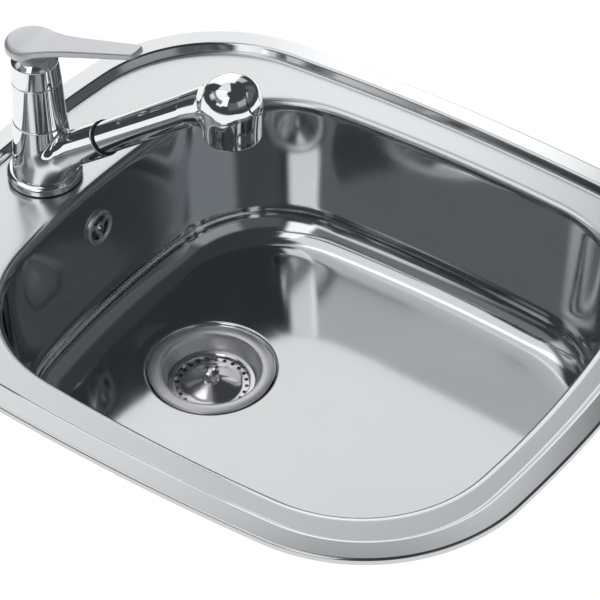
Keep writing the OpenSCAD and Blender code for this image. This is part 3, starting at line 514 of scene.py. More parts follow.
class SinkSizes(bpy.types.PropertyGroup):
    """Sizes that may change without touching the CAD frame."""

    sheet: bpy.props.FloatProperty(
        name="Sheet thickness", description="Thickness of the pressed steel",
        default=0.001, min=0.0005, max=0.0015, unit="LENGTH")
    casting_blend: bpy.props.FloatProperty(
        name="Casting blend", description="Fillet where the spout leaves the tap's body",
        default=0.009, min=0.002, max=0.015, unit="LENGTH")
    net_step: bpy.props.FloatProperty(
        name="Net step", description="Spacing of the points on blended castings",
        default=0.0009, min=0.0006, max=0.003, unit="LENGTH")


class SinkColours(bpy.types.PropertyGroup):
    """Colours and gloss of the finishes that show."""

    steel: bpy.props.FloatVectorProperty(
        name="Steel", description="Colour of the satin steel sheet",
        default=(0.61, 0.62, 0.63), min=0, max=1, subtype="COLOR")
    steel_roughness: bpy.props.FloatProperty(
        name="Steel roughness", description="How far the satin steel blurs reflections",
        default=0.09, min=0.05, max=0.8, subtype="FACTOR")
    deck_brushing: bpy.props.FloatProperty(
        name="Deck brushing", description="How much rougher the deck is than the bowl",
        default=0.14, min=0, max=0.5, subtype="FACTOR")
    chrome: bpy.props.FloatVectorProperty(
        name="Chrome", description="Colour of the bright plating",
        default=(0.86, 0.87, 0.88), min=0, max=1, subtype="COLOR")
    lever: bpy.props.FloatVectorProperty(
        name="Lever", description="Colour of the lever's satin plating",
        default=(0.70, 0.71, 0.73), min=0, max=1, subtype="COLOR")
    plug: bpy.props.FloatVectorProperty(
        name="Plug", description="Colour of the lever's index plug",
        default=(0.30, 0.32, 0.35), min=0, max=1, subtype="COLOR")


class SinkStage(bpy.types.PropertyGroup):
    """Light and camera."""

    world: bpy.props.FloatProperty(
        name="World", description="Strength of the white surroundings",
        default=1.0, min=0, max=3)
    lens: bpy.props.FloatProperty(
        name="Lens", description="Focal length on a 36 mm wide sensor",
        default=150.0, min=20, max=300, subtype="DISTANCE_CAMERA")


# ---------------------------------------------------------------- sink sheet


# Points along each arc of the outline, and rings across deck, wall and floor
SIDE_STEPS, END_STEPS, CORNER_STEPS = 34, 56, 30
N_AROUND = 2 * SIDE_STEPS + 2 * END_STEPS + 4 * CORNER_STEPS
DECK_RINGS, WALL_RINGS, FLOOR_RINGS = 17, 27, 22


def outline_parts(half_w, half_l, middle, side_bow, end_bow, corner):
    """The sink's outline as a ring of tangent arcs. Returns for each point its arc's
    centre, radius and direction, so that a ring moved inwards by d is
    centre + (radius - d) * direction."""
    side_c = np.array([half_w - side_bow, 0.0])
    end_c = np.array([0.0, half_l - end_bow])
    v = end_c - side_c
    d = np.linalg.norm(v)
    r0, r1 = side_bow - corner, end_bow - corner
    a = (r0 * r0 - r1 * r1 + d * d) / (2 * d)
    u = v / d
    corner_c = side_c + a * u + math.sqrt(r0 * r0 - a * a) * np.array([-u[1], u[0]])
    sa = math.atan2(*(corner_c - side_c)[::-1])
    ea = math.atan2(*(corner_c - end_c)[::-1])
    pi = math.pi
    arcs = [
        (side_c, side_bow, -sa, sa, SIDE_STEPS),
        (corner_c, corner, sa, ea, CORNER_STEPS),
        (end_c, end_bow, ea, pi - ea, END_STEPS),
        (corner_c * [-1, 1], corner, pi - ea, pi - sa, CORNER_STEPS),
        (-side_c, side_bow, pi - sa, pi + sa, SIDE_STEPS),
        (-corner_c, corner, pi + sa, pi + ea, CORNER_STEPS),
        (-end_c, end_bow, pi + ea, 2 * pi - ea, END_STEPS),
        (corner_c * [1, -1], corner, 2 * pi - ea, 2 * pi - sa, CORNER_STEPS),
    ]
    centre = np.concatenate([np.tile(c + middle, (n, 1)) for c, _, _, _, n in arcs])
    radius = np.concatenate([np.full(n, r) for _, r, _, _, n in arcs])
    angle = np.concatenate([np.linspace(a0, a1, n, endpoint=False) for _, _, a0, a1, n in arcs])
    return centre, radius, np.stack([np.cos(angle), np.sin(angle)], -1)


RIM_LINE = outline_parts(*SINK_HALF, (0, 0), side_bow=1830, end_bow=970, corner=129)
BOWL_LINE = outline_parts(*BOWL_HALF, (BOWL_X, BOWL_Y), side_bow=1360, end_bow=750, corner=108)


def ring(line, inset):
    """The outline moved inwards, for one inset or a column of them."""
    centre, radius, direction = line
    inset = np.asarray(inset, float)
    return centre + (radius - inset[..., None])[..., None] * direction


def wall_inset(z):
    """How far the bowl's sloping wall stands in from its upper edge at a height."""
    top_d = EDGE_R * math.cos(DRAFT)
    top_z = DECK_Z - EDGE_R * (1 - math.sin(DRAFT))
    return top_d + (top_z - z) * math.tan(DRAFT)


FILLET_TOP = FLOOR_Z + FLOOR_R * (1 - math.sin(DRAFT))
FILLET_D = wall_inset(FILLET_TOP) + FLOOR_R * math.cos(DRAFT)


def bowl_profile():
    """(inset, height) from the deck over the rolled edge, down the wall, round to the floor."""
    a = np.linspace(0, math.pi / 2 - DRAFT, 9)
    edge = np.stack([EDGE_R * np.sin(a), DECK_Z - EDGE_R * (1 - np.cos(a))], -1)
    z = np.linspace(edge[-1, 1], FILLET_TOP, WALL_RINGS)[1:-1]
    wall = np.stack([wall_inset(z), z], -1)
    b = np.linspace(DRAFT, math.pi / 2, 15)
    foot = np.stack([FILLET_D - FLOOR_R * np.cos(b), FLOOR_Z + FLOOR_R * (1 - np.sin(b))], -1)
    return np.concatenate([edge, wall, foot])


# The rim falls by RIM_FALL to its edge; the others are insets from the outline
RIM_FALL = 0.25
RIM_FLAT, RIM_STEP, DECK_FROM = 16.3, 20.6, 24


def rim_profile():
    """(inset, height) from the outer lip over the raised rim and down its step."""
    corners = [(0, LIP_Z), (0, RIM_TOP - RIM_FALL), (RIM_FLAT, RIM_TOP),
               (RIM_STEP, DECK_Z), (DECK_FROM, DECK_Z)]
    return softened(corners, [0, 1.7, 1.6, 2.2, 0], steps=6)


def at_heights(plan, heights):
    """Rings in the plane, each taken to its height."""
    z = np.broadcast_to(heights[:, None, None], (len(heights), N_AROUND, 1))
    return np.concatenate([plan, z], -1)


def drain_recess(foot):
    """Rings of the recess that holds the strainer, one point on each ray from the drain
    to the bowl's foot."""
    ray = foot[:, :2] - DRAIN_AT
    ray /= np.linalg.norm(ray, axis=1, keepdims=True)
    corners = [(RECESS_R + 8, RECESS_Z), (RECESS_R - 0.6, RECESS_Z),
               (RECESS_R - 2.2, SEAT_Z), (DRAIN_HOLE_R, SEAT_Z)]
    wells = softened(corners, [0, 1.2, 0.8, 0], steps=4)
    return at_heights(ray[None] * wells[:, :1, None] + DRAIN_AT, wells[:, 1])


def sheet_rings():
    """Every ring of the sheet's upper face, from the outer lip to the drain hole."""
    rim, bowl = rim_profile(), bowl_profile()
    rims = at_heights(ring(RIM_LINE, rim[:, 0]), rim[:, 1])
    bowls = at_heights(ring(BOWL_LINE, bowl[:, 0]), bowl[:, 1])
    wells = drain_recess(bowls[-1])
    t = np.linspace(0, 1, DECK_RINGS)[1:-1, None, None]
    deck = rims[-1] * (1 - t) + bowls[0] * t
    t = np.linspace(0, 1, FLOOR_RINGS)[1:-1, None, None]
    floor = bowls[-1] * (1 - t) + wells[0] * t
    return np.concatenate([rims, deck, bowls, floor, wells])


def overflow_place():
    """The overflow's frame: +Z out of the back wall, as in the CAD."""
    turn = tilt_x(90 - math.degrees(DRAFT))
    wall_y = ring(BOWL_LINE, wall_inset(OVERFLOW_Z))[:, 1].max()
    return turn, np.array([BOWL_X, wall_y, OVERFLOW_Z])


# How far along its axis a hole's cylinder reaches, which keeps it off the other walls
HOLE_REACH = 15


def cut_hole(upper, lower, kept, centre, axis, radius):
    """Takes out the grid's quads within a cylinder and draws the hole's edge onto it."""
    def spread(p):
        """A point's part along the axis, the rest, and the rest's length."""
        q = p - centre
        along_axis = (q @ axis)[..., None] * axis
        side = q - along_axis
        return along_axis, side, np.linalg.norm(side, axis=-1)

    rows = len(upper)
    mid = (upper[:-1] + upper[1:] + np.roll(upper[:-1], -1, 1) + np.roll(upper[1:], -1, 1)) / 4
    lift, _, far = spread(mid)
    gone = (far < radius) & (np.linalg.norm(lift, axis=-1) < HOLE_REACH)
    kept &= ~gone
    touch_gone = np.zeros(upper.shape[:2], bool)
    touch_kept = np.zeros(upper.shape[:2], bool)
    for mark, quads in ((touch_gone, gone), (touch_kept, ~gone)):
        for dr in (0, 1):
            for dc in (0, 1):
                mark[dr:rows - 1 + dr] |= np.roll(quads, dc, 1)
    edge = touch_gone & touch_kept
    for sheet in (upper, lower):
        along_axis, side, reach = spread(sheet[edge])
        sheet[edge] = centre + along_axis + side * (radius / reach)[:, None]


def sheet_mesh(thickness):
    """Upper face, the same face one sheet lower along its normals, and the walls that
    join them at the lip, the drain and the two holes."""
    upper = sheet_rings()
    rows, columns = upper.shape[:2]
    round_way = np.roll(upper, -1, 1) - np.roll(upper, 1, 1)
    in_way = np.gradient(upper, axis=0)
    normal = np.cross(round_way, in_way)
    normal /= np.linalg.norm(normal, axis=-1, keepdims=True)
    lower = upper - thickness * normal
    kept = np.ones((rows - 1, columns), bool)
    turn, at = overflow_place()
    cut_hole(upper, lower, kept, TAP_AT, np.array([0, 0, 1.0]), TAP_HOLE_R)
    cut_hole(upper, lower, kept, at, turn[:, 2], OVERFLOW_HOLE_R)
    quads = grid_faces(rows, columns)[kept.ravel()]
    below = rows * columns

    def wall(a, b):
        """Quads from an edge of the upper face to the same edge of the lower one."""
        return np.stack([a, b, b + below, a + below], -1)

    vertex = np.arange(below).reshape(rows, columns)
    right = np.roll(vertex, -1, 1)
    side = kept != np.roll(kept, -1, 1)
    end = kept[:-1] != kept[1:]
    faces = np.concatenate([quads, quads[:, ::-1] + below, wall(right[0], vertex[0]),
                            wall(vertex[-1], right[-1]),
                            wall(right[:-1][side], right[1:][side]),
                            wall(vertex[1:-1][end], right[1:-1][end])])
    points = np.concatenate([upper.reshape(-1, 3), lower.reshape(-1, 3)])
    used = np.unique(faces)
    number = np.zeros(len(points), int)
    number[used] = np.arange(len(used))
    return points[used], number[faces]


class SINK_OT_sheet(bpy.types.Operator):
    """Pressed steel: rim, deck and bowl as one sheet."""

    bl_idname = "sink.sheet"
    bl_label = "Steel sheet"

    def execute(self, context):
        points, faces = sheet_mesh(context.scene.sink_sizes.sheet / MM)
        make_piece("steel_sheet", points, faces, satin_steel(), "sink",
                   ["sink_body"], weld=True, sharp=60)
        return {"FINISHED"}


# ---------------------------------------------------------------- waste and overflow


class SINK_OT_waste(bpy.types.Operator):
    """Strainer flange, basket, screw and overflow rosette."""

    bl_idname = "sink.waste"
    bl_label = "Waste and overflow"

    def execute(self, context):
        bright = finish("polished_steel")
        for node, name in (("strainer_basket", "basket"), ("basket_post", "lifting_post"),
                           ("waste_screw", "strainer_screw"),
                           ("overflow_screw", "rosette_screw")):
            joined_copy(node, name, bright)
        for node, name in (("waste_flange", "strainer_flange"), ("overflow_rosette", "rosette")):
            joined_copy(node, name, finish("brushed_steel"))
        return {"FINISHED"}


# ---------------------------------------------------------------- tap


HOUSING_TOP = 88
# The cap, from the pivot: its foot, its radius there and under the dome, the dome's
# own radius, the wall, and the hole for the spindle
CAP_LOW = HOUSING_TOP + 0.1 - PIVOT_UP
CAP_FOOT_R, CAP_R, CAP_DOME, CAP_WALL, CAP_HOLE_R = 17.9, 17.0, 21.0, 2, 10.2


def dome_arc(radius, r0, r1):
    """Points of a dome's profile between two distances from its axis."""
    a = np.linspace(math.asin(r0 / radius), math.asin(r1 / radius), 16)
    return radius * np.stack([np.sin(a), np.cos(a)], -1)


def cap_profile():
    """The cap's skirt and dome, with its inner face."""
    join = math.sqrt(CAP_DOME ** 2 - CAP_R ** 2)
    skirt = [(CAP_FOOT_R - 0.5, CAP_LOW), (CAP_FOOT_R, CAP_LOW + 0.5),
             (CAP_FOOT_R - 0.05, CAP_LOW + 1), (CAP_R + 0.05, join - 0.6)]
    outside = dome_arc(CAP_DOME, CAP_R, CAP_HOLE_R)
    inside = dome_arc(CAP_DOME - CAP_WALL, CAP_HOLE_R, CAP_R - CAP_WALL)
    return np.concatenate([skirt, outside, inside, [(CAP_R - CAP_WALL, CAP_LOW)]])


class SINK_OT_tap_body(bpy.types.Operator):
    """Base ring, cartridge housing and domed cap."""

    bl_idname = "sink.tap_body"
    bl_label = "Tap body"

    def execute(self, context):
        bright = chrome()
        base = softened([(16.6, 1), (27.75, 1), (27.75, 5.9), (25, 7.5), (16.6, 7.5)],
                        [0.2, 0.5, 1.8, 1.2, 0.2], closed=True)
        turned_piece("tap_base", base, TAP, bright, "sink", ["base_ring"])
        housing = softened([(16.5, 52.8), (19.3, 52.8), (18, HOUSING_TOP), (16.5, HOUSING_TOP)],
                           [0.2, 0.5, 0.5, 0.2], closed=True)
        turned_piece("housing", housing, TAP, bright, "sink", ["cartridge_housing"])
        turned_piece("cap", cap_profile(), PIVOT, bright, "sink", ["dome_cap"])
        return {"FINISHED"}


# Tap body: it narrows from its foot to the seam, round the bore for the inner column
BODY_LOW, BODY_TOP = 7.8, 52.5
BODY_R, BODY_NARROWS = 23.5, 3.8
BODY_BORE_R = 17.3
# Arm, along its axis: it is wider by ARM_FLARE at its foot and holds the docking sleeve
ARM_START, ARM_END = 6, 76.4
ARM_R, ARM_FLARE = 13.25, 3.6
DOCK_R, DOCK_FLOOR = 11.3, 43.4
SEAM_BLEND = 2.5


def spout_field(blend):
    """Tap body and rising arm: rho - R(z) for the body, the distance from its axis for
    the arm, joined by a fillet that is small at the upper seam and wide at the foot."""
    middle, half = (BODY_TOP + BODY_LOW) / 2, (BODY_TOP - BODY_LOW) / 2

    def field(p):
        q, s = p - TAP_AT, along(p, SPOUT)
        rho, z = from_axis(q), q[:, 2]
        far, run = from_axis(s), s[:, 2]
        body = rho - (BODY_R - BODY_NARROWS * (z - BODY_LOW) / (2 * half))
        body = smooth_max(body, np.abs(z - middle) - half, 0.9)
        flare = ARM_R + ARM_FLARE * smooth_step((44 - run) / 34)
        arm = smooth_max(far - flare, run - ARM_END, 0.7)
        arm = np.maximum(arm, ARM_START - run)
        fillet = SEAM_BLEND + (blend - SEAM_BLEND) * smooth_step((48 - z) / 26)
        both = np.maximum(smooth_min(body, arm, fillet), BODY_LOW - z)
        bore = np.maximum(rho - BODY_BORE_R, z - 62)
        dock = np.maximum(far - DOCK_R, DOCK_FLOOR - run)
        return np.maximum(np.maximum(both, -bore), -dock)
    return field


# Handset, along the spout's axis: tube, docking stem and the way for the water
TUBE_R, TUBE_START, TUBE_END = 11.75, 78.25, 205
STEM_R, STEM_START, STEM_END = 9, 39.4, 82
WATER_R, WATER_START, WATER_END = 5, 39, 200
# Flare from the tube into the head: where it starts and how far up the head it aims
FLARE_START, FLARE_END_H = 173.9, 22
FLARE_R, FLARE_GROWS = 11.5, 6
# Head, up its own axis: a straight side with a dome over it. DOME_POWER is 2 for an
# ellipse and more for a squarer shoulder. The skirt reaches below the source's edge.
HEAD_R, SHOULDER_H, DOME_H, DOME_POWER = 21, 12.5, 25.5, 3.2
SKIRT, SKIRT_NARROWS = 5.5, 1.0
FACE_R, FACE_H = 17.6, 8
# Button: half width and half height of its lens, and its pocket in the head
BUTTON_HALF = (5.5, 9.5)
POCKET_GAP, POCKET_FLOOR = 0.4, 12.7


def head_field(rho, h):
    """The spray head's outside, from the distance to its axis and the height."""
    rise = np.maximum(h - SHOULDER_H, 0) * HEAD_R / DOME_H
    dome = (rho ** DOME_POWER + rise ** DOME_POWER) ** (1 / DOME_POWER) - HEAD_R
    narrows = SKIRT_NARROWS * (1 - smooth_step((h + SKIRT) / 24))
    return smooth_max(dome + narrows, -h - SKIRT, 1.6)


def pocket_field(p):
    """The button's pocket: the lens between two arcs, down to a floor."""
    b = along(p, BUTTON)
    w, l = BUTTON_HALF
    r = (w * w + l * l) / (2 * w)
    lens = np.hypot(np.abs(b[:, 0]) - (w - r), b[:, 1]) - (r + POCKET_GAP)
    return smooth_max(lens, POCKET_FLOOR - b[:, 2], 0.2)


def flare_field(p):
    """The cone that carries the tube's end into the head."""
    start = SPOUT[0] @ np.array([0, 0, FLARE_START]) + SPOUT[1]
    way = HEAD[1] + [0, 0, FLARE_END_H] - start
    share = np.clip((p - start) @ way / (way @ way), 0, 1)
    off = np.linalg.norm(p - start - share[:, None] * way, axis=1)
    return np.maximum(off - (FLARE_R + FLARE_GROWS * share), (start - p) @ way)


def handset_field(p):
    """Docking stem, tube and spray head in one, with the head's top run into the tube."""
    s, q = along(p, SPOUT), along(p, HEAD)
    far, run = from_axis(s), s[:, 2]
    rho, h = from_axis(q), q[:, 2]
    tube = smooth_max(far - TUBE_R, TUBE_START - run, 0.8)
    tube = np.maximum(tube, run - TUBE_END)
    stem = smooth_max(far - STEM_R, STEM_START - run, 0.6)
    stem = np.maximum(stem, run - STEM_END)
    tube = smooth_min(tube, flare_field(p), 2)
    both = smooth_min(tube, head_field(rho, h), 5)
    below = smooth_max(rho - HEAD_R - 0.4, h + SKIRT, 1.0)
    both = np.minimum(smooth_max(both, -below, 1.0), stem)
    face = np.maximum(rho - FACE_R, h - FACE_H)
    water = np.maximum(np.maximum(far - WATER_R, WATER_START - run), run - WATER_END)
    for hollow in (pocket_field(p), face, water):
        both = np.maximum(both, -hollow)
    return both


# Docking ring between arm and handset, and the sleeve in the arm, along the spout's axis
RING_R, RING_LOW, RING_TOP = 12.95, 76.45, 77.95
SLEEVE_R, SLEEVE_BORE_R, SLEEVE_LOW = 11.25, 9.1, 43.5
RING_STEPS = 96


class SINK_OT_spout(bpy.types.Operator):
    """Swivelling body with its arm, and the docking ring."""

    bl_idname = "sink.spout"
    bl_label = "Spout"

    def execute(self, context):
        sizes = context.scene.sink_sizes
        field = spout_field(sizes.casting_blend / MM)
        low, high = TAP_AT + [-26, -76, 6], TAP_AT + [26, 26, 78]
        points, quads, normals = skin(field, low, high, sizes.net_step / MM)
        make_piece("spout", points, quads, chrome(), "spout", ["spout_body"], normals)
        bore, seat = SLEEVE_BORE_R, RING_LOW
        collar = softened([(bore, seat), (RING_R, seat), (RING_R, RING_TOP), (bore, RING_TOP)],
                          0.3, closed=True)
        sleeve = softened([(bore, SLEEVE_LOW), (SLEEVE_R, SLEEVE_LOW), (SLEEVE_R, seat),
                           (bore, seat)], 0.2, closed=True)
        parts = [turned(collar, RING_STEPS), turned(sleeve, RING_STEPS)]
        quads = [grid_faces(len(collar), RING_STEPS, closed=True),
                 grid_faces(len(sleeve), RING_STEPS, closed=True) + len(parts[0])]
        make_piece("docking_ring", placed(np.concatenate(parts), SPOUT), np.concatenate(quads),
                   finish("dark_plastic"), "spout", ["dock_sleeve"])
        return {"FINISHED"}


class SINK_OT_handset(bpy.types.Operator):
    """Pull-out tube with its spray head, face and button."""

    bl_idname = "sink.handset"
    bl_label = "Spray handset"

    def execute(self, context):
        step = context.scene.sink_sizes.net_step / MM
        low = HEAD[1] + [-24, -24, -86]
        high = HEAD[1] + [24, 150, 46]
        points, quads, normals = skin(handset_field, low, high, step)
        make_piece("handset", points, quads, chrome(), "handset",
                   ["handset_shell"], normals)
        joined_copy("spray_face", "nozzle_plate", finish("dark_plastic"))
        joined_copy("aerator", "stream_outlet", chrome())
        joined_copy("spray_button", "button", chrome(), angle=40)
        return {"FINISHED"}


# Lever, from the pivot: its round end over the cap
END_R, END_BACK, END_LOW, END_TOP = 18.2, 2.5, 22, 29.8
# Its blade, along its own slope: half width at distances from the pivot, and thickness
LEVER_RISE = 19.5
BLADE_UP = 22.9
BLADE_REACH = 96
BLADE_TIP = BLADE_REACH / math.cos(math.radians(LEVER_RISE))
BLADE_AT = [-20, 0, 12, 24, 40, 56, 90, BLADE_TIP, BLADE_TIP + 10]
BLADE_HALF = [16.4, 16.6, 15, 12, 10.2, 9.3, 7.65, 7.3, 7.2]
BLADE_THICK = (4.8, 4.3)
# The boss on the spindle, which leans as the lever does
BOSS_R, BOSS_LOW, BOSS_TOP = 5.6, 21.5, 25
SPINDLE_LEAN = 10


def lever_field(p):
    """Round end over the cap and a flat blade that rises from it, both with soft edges."""
    q = along(p, PIVOT)
    out, z = np.hypot(q[:, 0], q[:, 1] - END_BACK), q[:, 2]
    crown = END_TOP - 0.6 * (out / 15) ** 3
    end = smooth_max(smooth_max(out - END_R, z - crown, 4), END_LOW - z, 0.8)
    b = along(p, (tilt_x(-LEVER_RISE), PIVOT[1] + [0, 0, BLADE_UP]))
    t = -b[:, 1]
    half_high = np.interp(t, [45, BLADE_TIP], BLADE_THICK) / 2
    flat = np.abs(b[:, 2] - half_high) - half_high
    half_wide = np.interp(t, BLADE_AT, BLADE_HALF)
    plan = smooth_max(np.abs(b[:, 0]) - half_wide, t - BLADE_TIP, 5)
    blade = np.maximum(smooth_max(plan, flat, 1.1), -t - 4)
    s = along(p, (tilt_x(SPINDLE_LEAN), PIVOT[1]))
    boss = np.maximum(from_axis(s) - BOSS_R, BOSS_LOW - s[:, 2])
    boss = np.maximum(boss, s[:, 2] - BOSS_TOP)
    return np.minimum(smooth_min(end, blade, 3), boss)


class SINK_OT_lever(bpy.types.Operator):
    """Lever with its round end over the cap."""

    bl_idname = "sink.lever"
    bl_label = "Lever"

    def execute(self, context):
        step = context.scene.sink_sizes.net_step / MM
        low, high = PIVOT[1] + [-20, -100, 11], PIVOT[1] + [20, 23, 66]
        points, quads, normals = skin(lever_field, low, high, step)
        make_piece("lever_handle", points, quads, satin_chrome(), "lever",
                   ["lever"], normals)
        joined_copy("index_plug", "plug", grey_plastic())
        joined_copy("lever_grub_screw", "grub_screw", finish("zinc"))
        return {"FINISHED"}


# ---------------------------------------------------------------- under the deck

# The finish of each node that keeps its CAD shape
FITTINGS = {
    "rim_seal": "seal_foam",
    "clip_brackets": "zinc",
    "clip_arms": "zinc",
    "clip_screws": "zinc",
    "flange_seal": "black_rubber",
    "stopper_seal": "black_rubber",
    "waste_gasket": "black_rubber",
    "waste_body": "white_plastic",
    "waste_tail": "white_plastic",
    "waste_nut": "machined_brass",
    "overflow_gasket": "black_rubber",
    "overflow_elbow": "white_plastic",
    "overflow_pipe": "white_plastic",
    "overflow_nuts": "white_plastic",
    "base_gasket": "black_rubber",
    "inner_column": "machined_brass",
    "swivel_bushes": "bearing_plastic",
    "cartridge": "white_plastic",
    "cartridge_nut": "machined_brass",
    "stem_guide": "bearing_plastic",
    "spindle_pin": "polished_steel",
    "spindle": "machined_brass",
    "deck_washer": "black_rubber",
    "clamp_plate": "zinc",
    "mounting_stud": "machined_brass",
    "stud_nut": "machined_brass",
}


class SINK_OT_fittings(bpy.types.Operator):
    """Clips, seals, waste, overflow pipe and the tap's inner pieces."""

    bl_idname = "sink.fittings"
    bl_label = "Fittings"

    def execute(self, context):
        for node, name in FITTINGS.items():
            joined_copy(node, node + "_fine", finish(name))
        return {"FINISHED"}


# ---------------------------------------------------------------- stage


WORKTOP_HALF = np.array([620.0, 680.0])
WORKTOP_TOP, WORKTOP_LOW = -0.02, -28.0
CUTOUT_INSET = 11.5
# The backdrop's glow, where 1 is white, and its share in what the worktop shows
GLOW, GLOW_SHARE = 1.12, 0.85


def backdrop_white():
    """A white worktop that the camera and mirror rays see lifted to the backdrop's white,
    with its soft shadow kept."""
    material = bpy.data.materials.new("white_worktop")
    material.use_nodes = True
    shader = material.node_tree.nodes["Principled BSDF"]
    shader.inputs["Base Color"].default_value = (0.93, 0.93, 0.93, 1)
    shader.inputs["Roughness"].default_value = 0.9
    shader.inputs["Specular IOR Level"].default_value = 0.1
    wires = Wiring(material.node_tree)
    camera_ray = wires.node("ShaderNodeLightPath")
    mirror_ray = wires.node("ShaderNodeLightPath", output=3)
    lifted = wires.math("MAXIMUM", camera_ray, mirror_ray)
    glow = wires.node("ShaderNodeEmission", (1, 1, 1, 1), GLOW)
    mix = wires.node("ShaderNodeMixShader", wires.math("MULTIPLY", lifted, GLOW_SHARE),
                     shader.outputs["BSDF"], glow)
    out = material.node_tree.nodes["Material Output"]
    material.node_tree.links.new(mix, out.inputs["Surface"])
    return material


def worktop():
    """A white worktop with the sink's cut-out: a grid from the cut-out to a rectangle."""
    hole = ring(RIM_LINE, CUTOUT_INSET)
    way = hole / np.linalg.norm(hole, axis=1, keepdims=True)
    reach = np.min(WORKTOP_HALF / np.maximum(np.abs(way), 1e-6), axis=1, keepdims=True)
    outer = way * reach
    top = np.full((len(hole), 1), WORKTOP_TOP)
    low = np.full((len(hole), 1), WORKTOP_LOW)
    rings = [np.hstack([hole, low]), np.hstack([hole, top]), np.hstack([outer, top]),
             np.hstack([outer, low])]
    quads = grid_faces(4, len(hole), closed=True)[:, ::-1]
    mesh = bpy.data.meshes.new("worktop")
    mesh.from_pydata((np.concatenate(rings) * MM).tolist(), [], quads.tolist())
    mesh.update()
    mesh.materials.append(backdrop_white())
    slab = bpy.data.objects.new("worktop", mesh)
    bpy.context.scene.collection.objects.link(slab)


# Soft boxes round the set: bearing from the back towards the right and half width,
# lowest and highest elevation, softness of their edges (all in degrees), strength
WHITE_BOXES = (
    (44, 21, -5, 50, 7, 1.05),
    (44, 21, -5, 41, 6, 0.2),
    (68, 12, 18, 39, 6, 0.5),
    (263, 12, 25, 73, 6, 1.45),
    (283, 12, 16, 27, 5, 0.9),
    (315, 42, 47, 78, 6, 1.0),
    (330, 12, 18, 38, 8, 0.55),
    (15, 35, 51, 80, 7, 0.85),
    (0, 190, -100, -12, 8, 0.8),
)
COOL_BOXES = (
    (185, 22, 18, 44, 8, 0.3),
    (170, 75, 8, 44, 8, 0.08),
    (312, 40, 28, 48, 6, 0.2),
)
COOL = (0.88, 0.94, 1.0, 1)
# The dim room's own light, of the cool colour too
DIM = 0.06


def soft_box(wires, way, elevation, panel, strength):
    """Light of one soft box as seen in each direction."""
    bearing, half, low, high, soft, power = panel
    a = math.radians(bearing)
    facing = wires.node("ShaderNodeVectorMath", way, (math.sin(a), math.cos(a), 0), output=1,
                        operation="DOT_PRODUCT")
    aside = wires.math("ARCCOSINE", facing)
    across = wires.ramp(aside, math.radians(half + soft / 2), math.radians(half - soft / 2))
    foot = wires.ramp(elevation, math.radians(low - soft / 2), math.radians(low + soft / 2))
    top = wires.ramp(elevation, math.radians(high + soft / 2), math.radians(high - soft / 2),
                     power * strength)
    return wires.math("MULTIPLY", wires.math("MULTIPLY", across, foot), top)


def surroundings(strength):
    """White backdrop, and for the light a dim room with soft boxes."""
    world = bpy.data.worlds.new("studio")
    bpy.context.scene.world = world
    world.use_nodes = True
    world.node_tree.nodes.clear()
    wires = Wiring(world.node_tree)
    where = wires.node("ShaderNodeTexCoord", output=0)
    level = wires.node("ShaderNodeSeparateXYZ", where, output=2)
    elevation = wires.math("ARCSINE", level)
    flat = wires.node("ShaderNodeVectorMath", where, (1, 1, 0), operation="MULTIPLY")
    way = wires.node("ShaderNodeVectorMath", flat, operation="NORMALIZE")
    white, cool = 0.0, DIM * strength
    for panel in WHITE_BOXES:
        white = wires.math("ADD", soft_box(wires, way, elevation, panel, strength), white)
    for panel in COOL_BOXES:
        cool = wires.math("ADD", soft_box(wires, way, elevation, panel, strength), cool)
    light = wires.node("ShaderNodeAddShader",
                       wires.node("ShaderNodeBackground", (1, 1, 1, 1), white),
                       wires.node("ShaderNodeBackground", COOL, cool))
    seen = wires.node("ShaderNodeBackground", (1, 1, 1, 1), 1.0)
    path = wires.node("ShaderNodeLightPath")
    mix = wires.node("ShaderNodeMixShader", path, light, seen)
    out = world.node_tree.nodes.new("ShaderNodeOutputWorld")
    world.node_tree.links.new(mix, out.inputs["Surface"])


# Azimuth, elevation and roll of the photograph's camera in degrees, and its place
CAMERA_TURN = (-54.76, 42.61, -0.33)
CAMERA_AT = (-1055.5, -759.6, 1167.5)


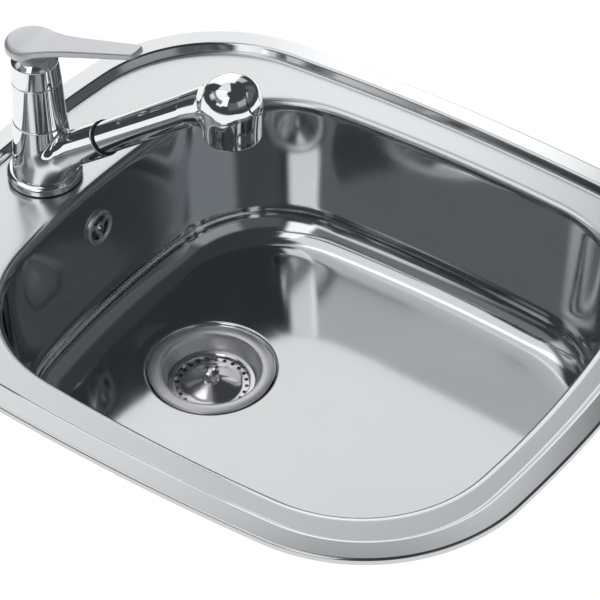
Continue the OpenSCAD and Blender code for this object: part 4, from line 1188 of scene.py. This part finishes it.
def camera(lens):
    """The photograph's viewpoint: 42.6 degrees above the deck, from the front left."""
    az, el, roll = (math.radians(a) for a in CAMERA_TURN)
    back = np.array([math.sin(az) * math.cos(el), -math.cos(az) * math.cos(el), math.sin(el)])
    right = np.cross(-back, [0, 0, 1])
    right /= np.linalg.norm(right)
    up = np.cross(right, -back)
    right, up = (math.cos(roll) * right + math.sin(roll) * up,
                 -math.sin(roll) * right + math.cos(roll) * up)
    data = bpy.data.cameras.new("photo_view")
    data.lens, data.sensor_width = lens, 36.0
    data.clip_start, data.clip_end = 0.01, 20
    view = bpy.data.objects.new("photo_view", data)
    bpy.context.scene.collection.objects.link(view)
    place = np.eye(4)
    place[:3, :3] = np.stack([right, up, back], 1)
    place[:3, 3] = np.array(CAMERA_AT) * MM
    view.matrix_world = Matrix(place.tolist())
    bpy.context.scene.camera = view


class SINK_OT_stage(bpy.types.Operator):
    """White worktop, soft light and the photograph's camera."""

    bl_idname = "sink.stage"
    bl_label = "Stage"

    def execute(self, context):
        stage = context.scene.sink_stage
        worktop()
        surroundings(stage.world)
        camera(stage.lens)
        context.scene.view_settings.view_transform = "Standard"
        return {"FINISHED"}


# ---------------------------------------------------------------- add-on

STEPS = ("sheet", "waste", "tap_body", "spout", "handset", "lever", "fittings", "stage")


class SINK_PT_panel(bpy.types.Panel):
    """Lists the steps and their settings in the sidebar."""

    bl_idname = "SINK_PT_panel"
    bl_label = "Kitchen sink"
    bl_space_type = "VIEW_3D"
    bl_region_type = "UI"
    bl_category = "Sink"

    def draw(self, context):
        for group in ("sink_sizes", "sink_colours", "sink_stage"):
            settings = getattr(context.scene, group)
            for key in settings.__annotations__:
                self.layout.prop(settings, key)
        for step in STEPS:
            self.layout.operator("sink." + step)


CLASSES = (SinkSizes, SinkColours, SinkStage, SINK_OT_sheet, SINK_OT_waste, SINK_OT_tap_body,
           SINK_OT_spout, SINK_OT_handset, SINK_OT_lever, SINK_OT_fittings, SINK_OT_stage,
           SINK_PT_panel)


def register():
    for cls in CLASSES:
        bpy.utils.register_class(cls)
    bpy.types.Scene.sink_sizes = bpy.props.PointerProperty(type=SinkSizes)
    bpy.types.Scene.sink_colours = bpy.props.PointerProperty(type=SinkColours)
    bpy.types.Scene.sink_stage = bpy.props.PointerProperty(type=SinkStage)


def unregister():
    del bpy.types.Scene.sink_sizes, bpy.types.Scene.sink_colours, bpy.types.Scene.sink_stage
    for cls in reversed(CLASSES):
        bpy.utils.unregister_class(cls)


def main():
    register()
    for step in STEPS:
        getattr(bpy.ops.sink, step)()


if __name__ == "__main__":
    main()
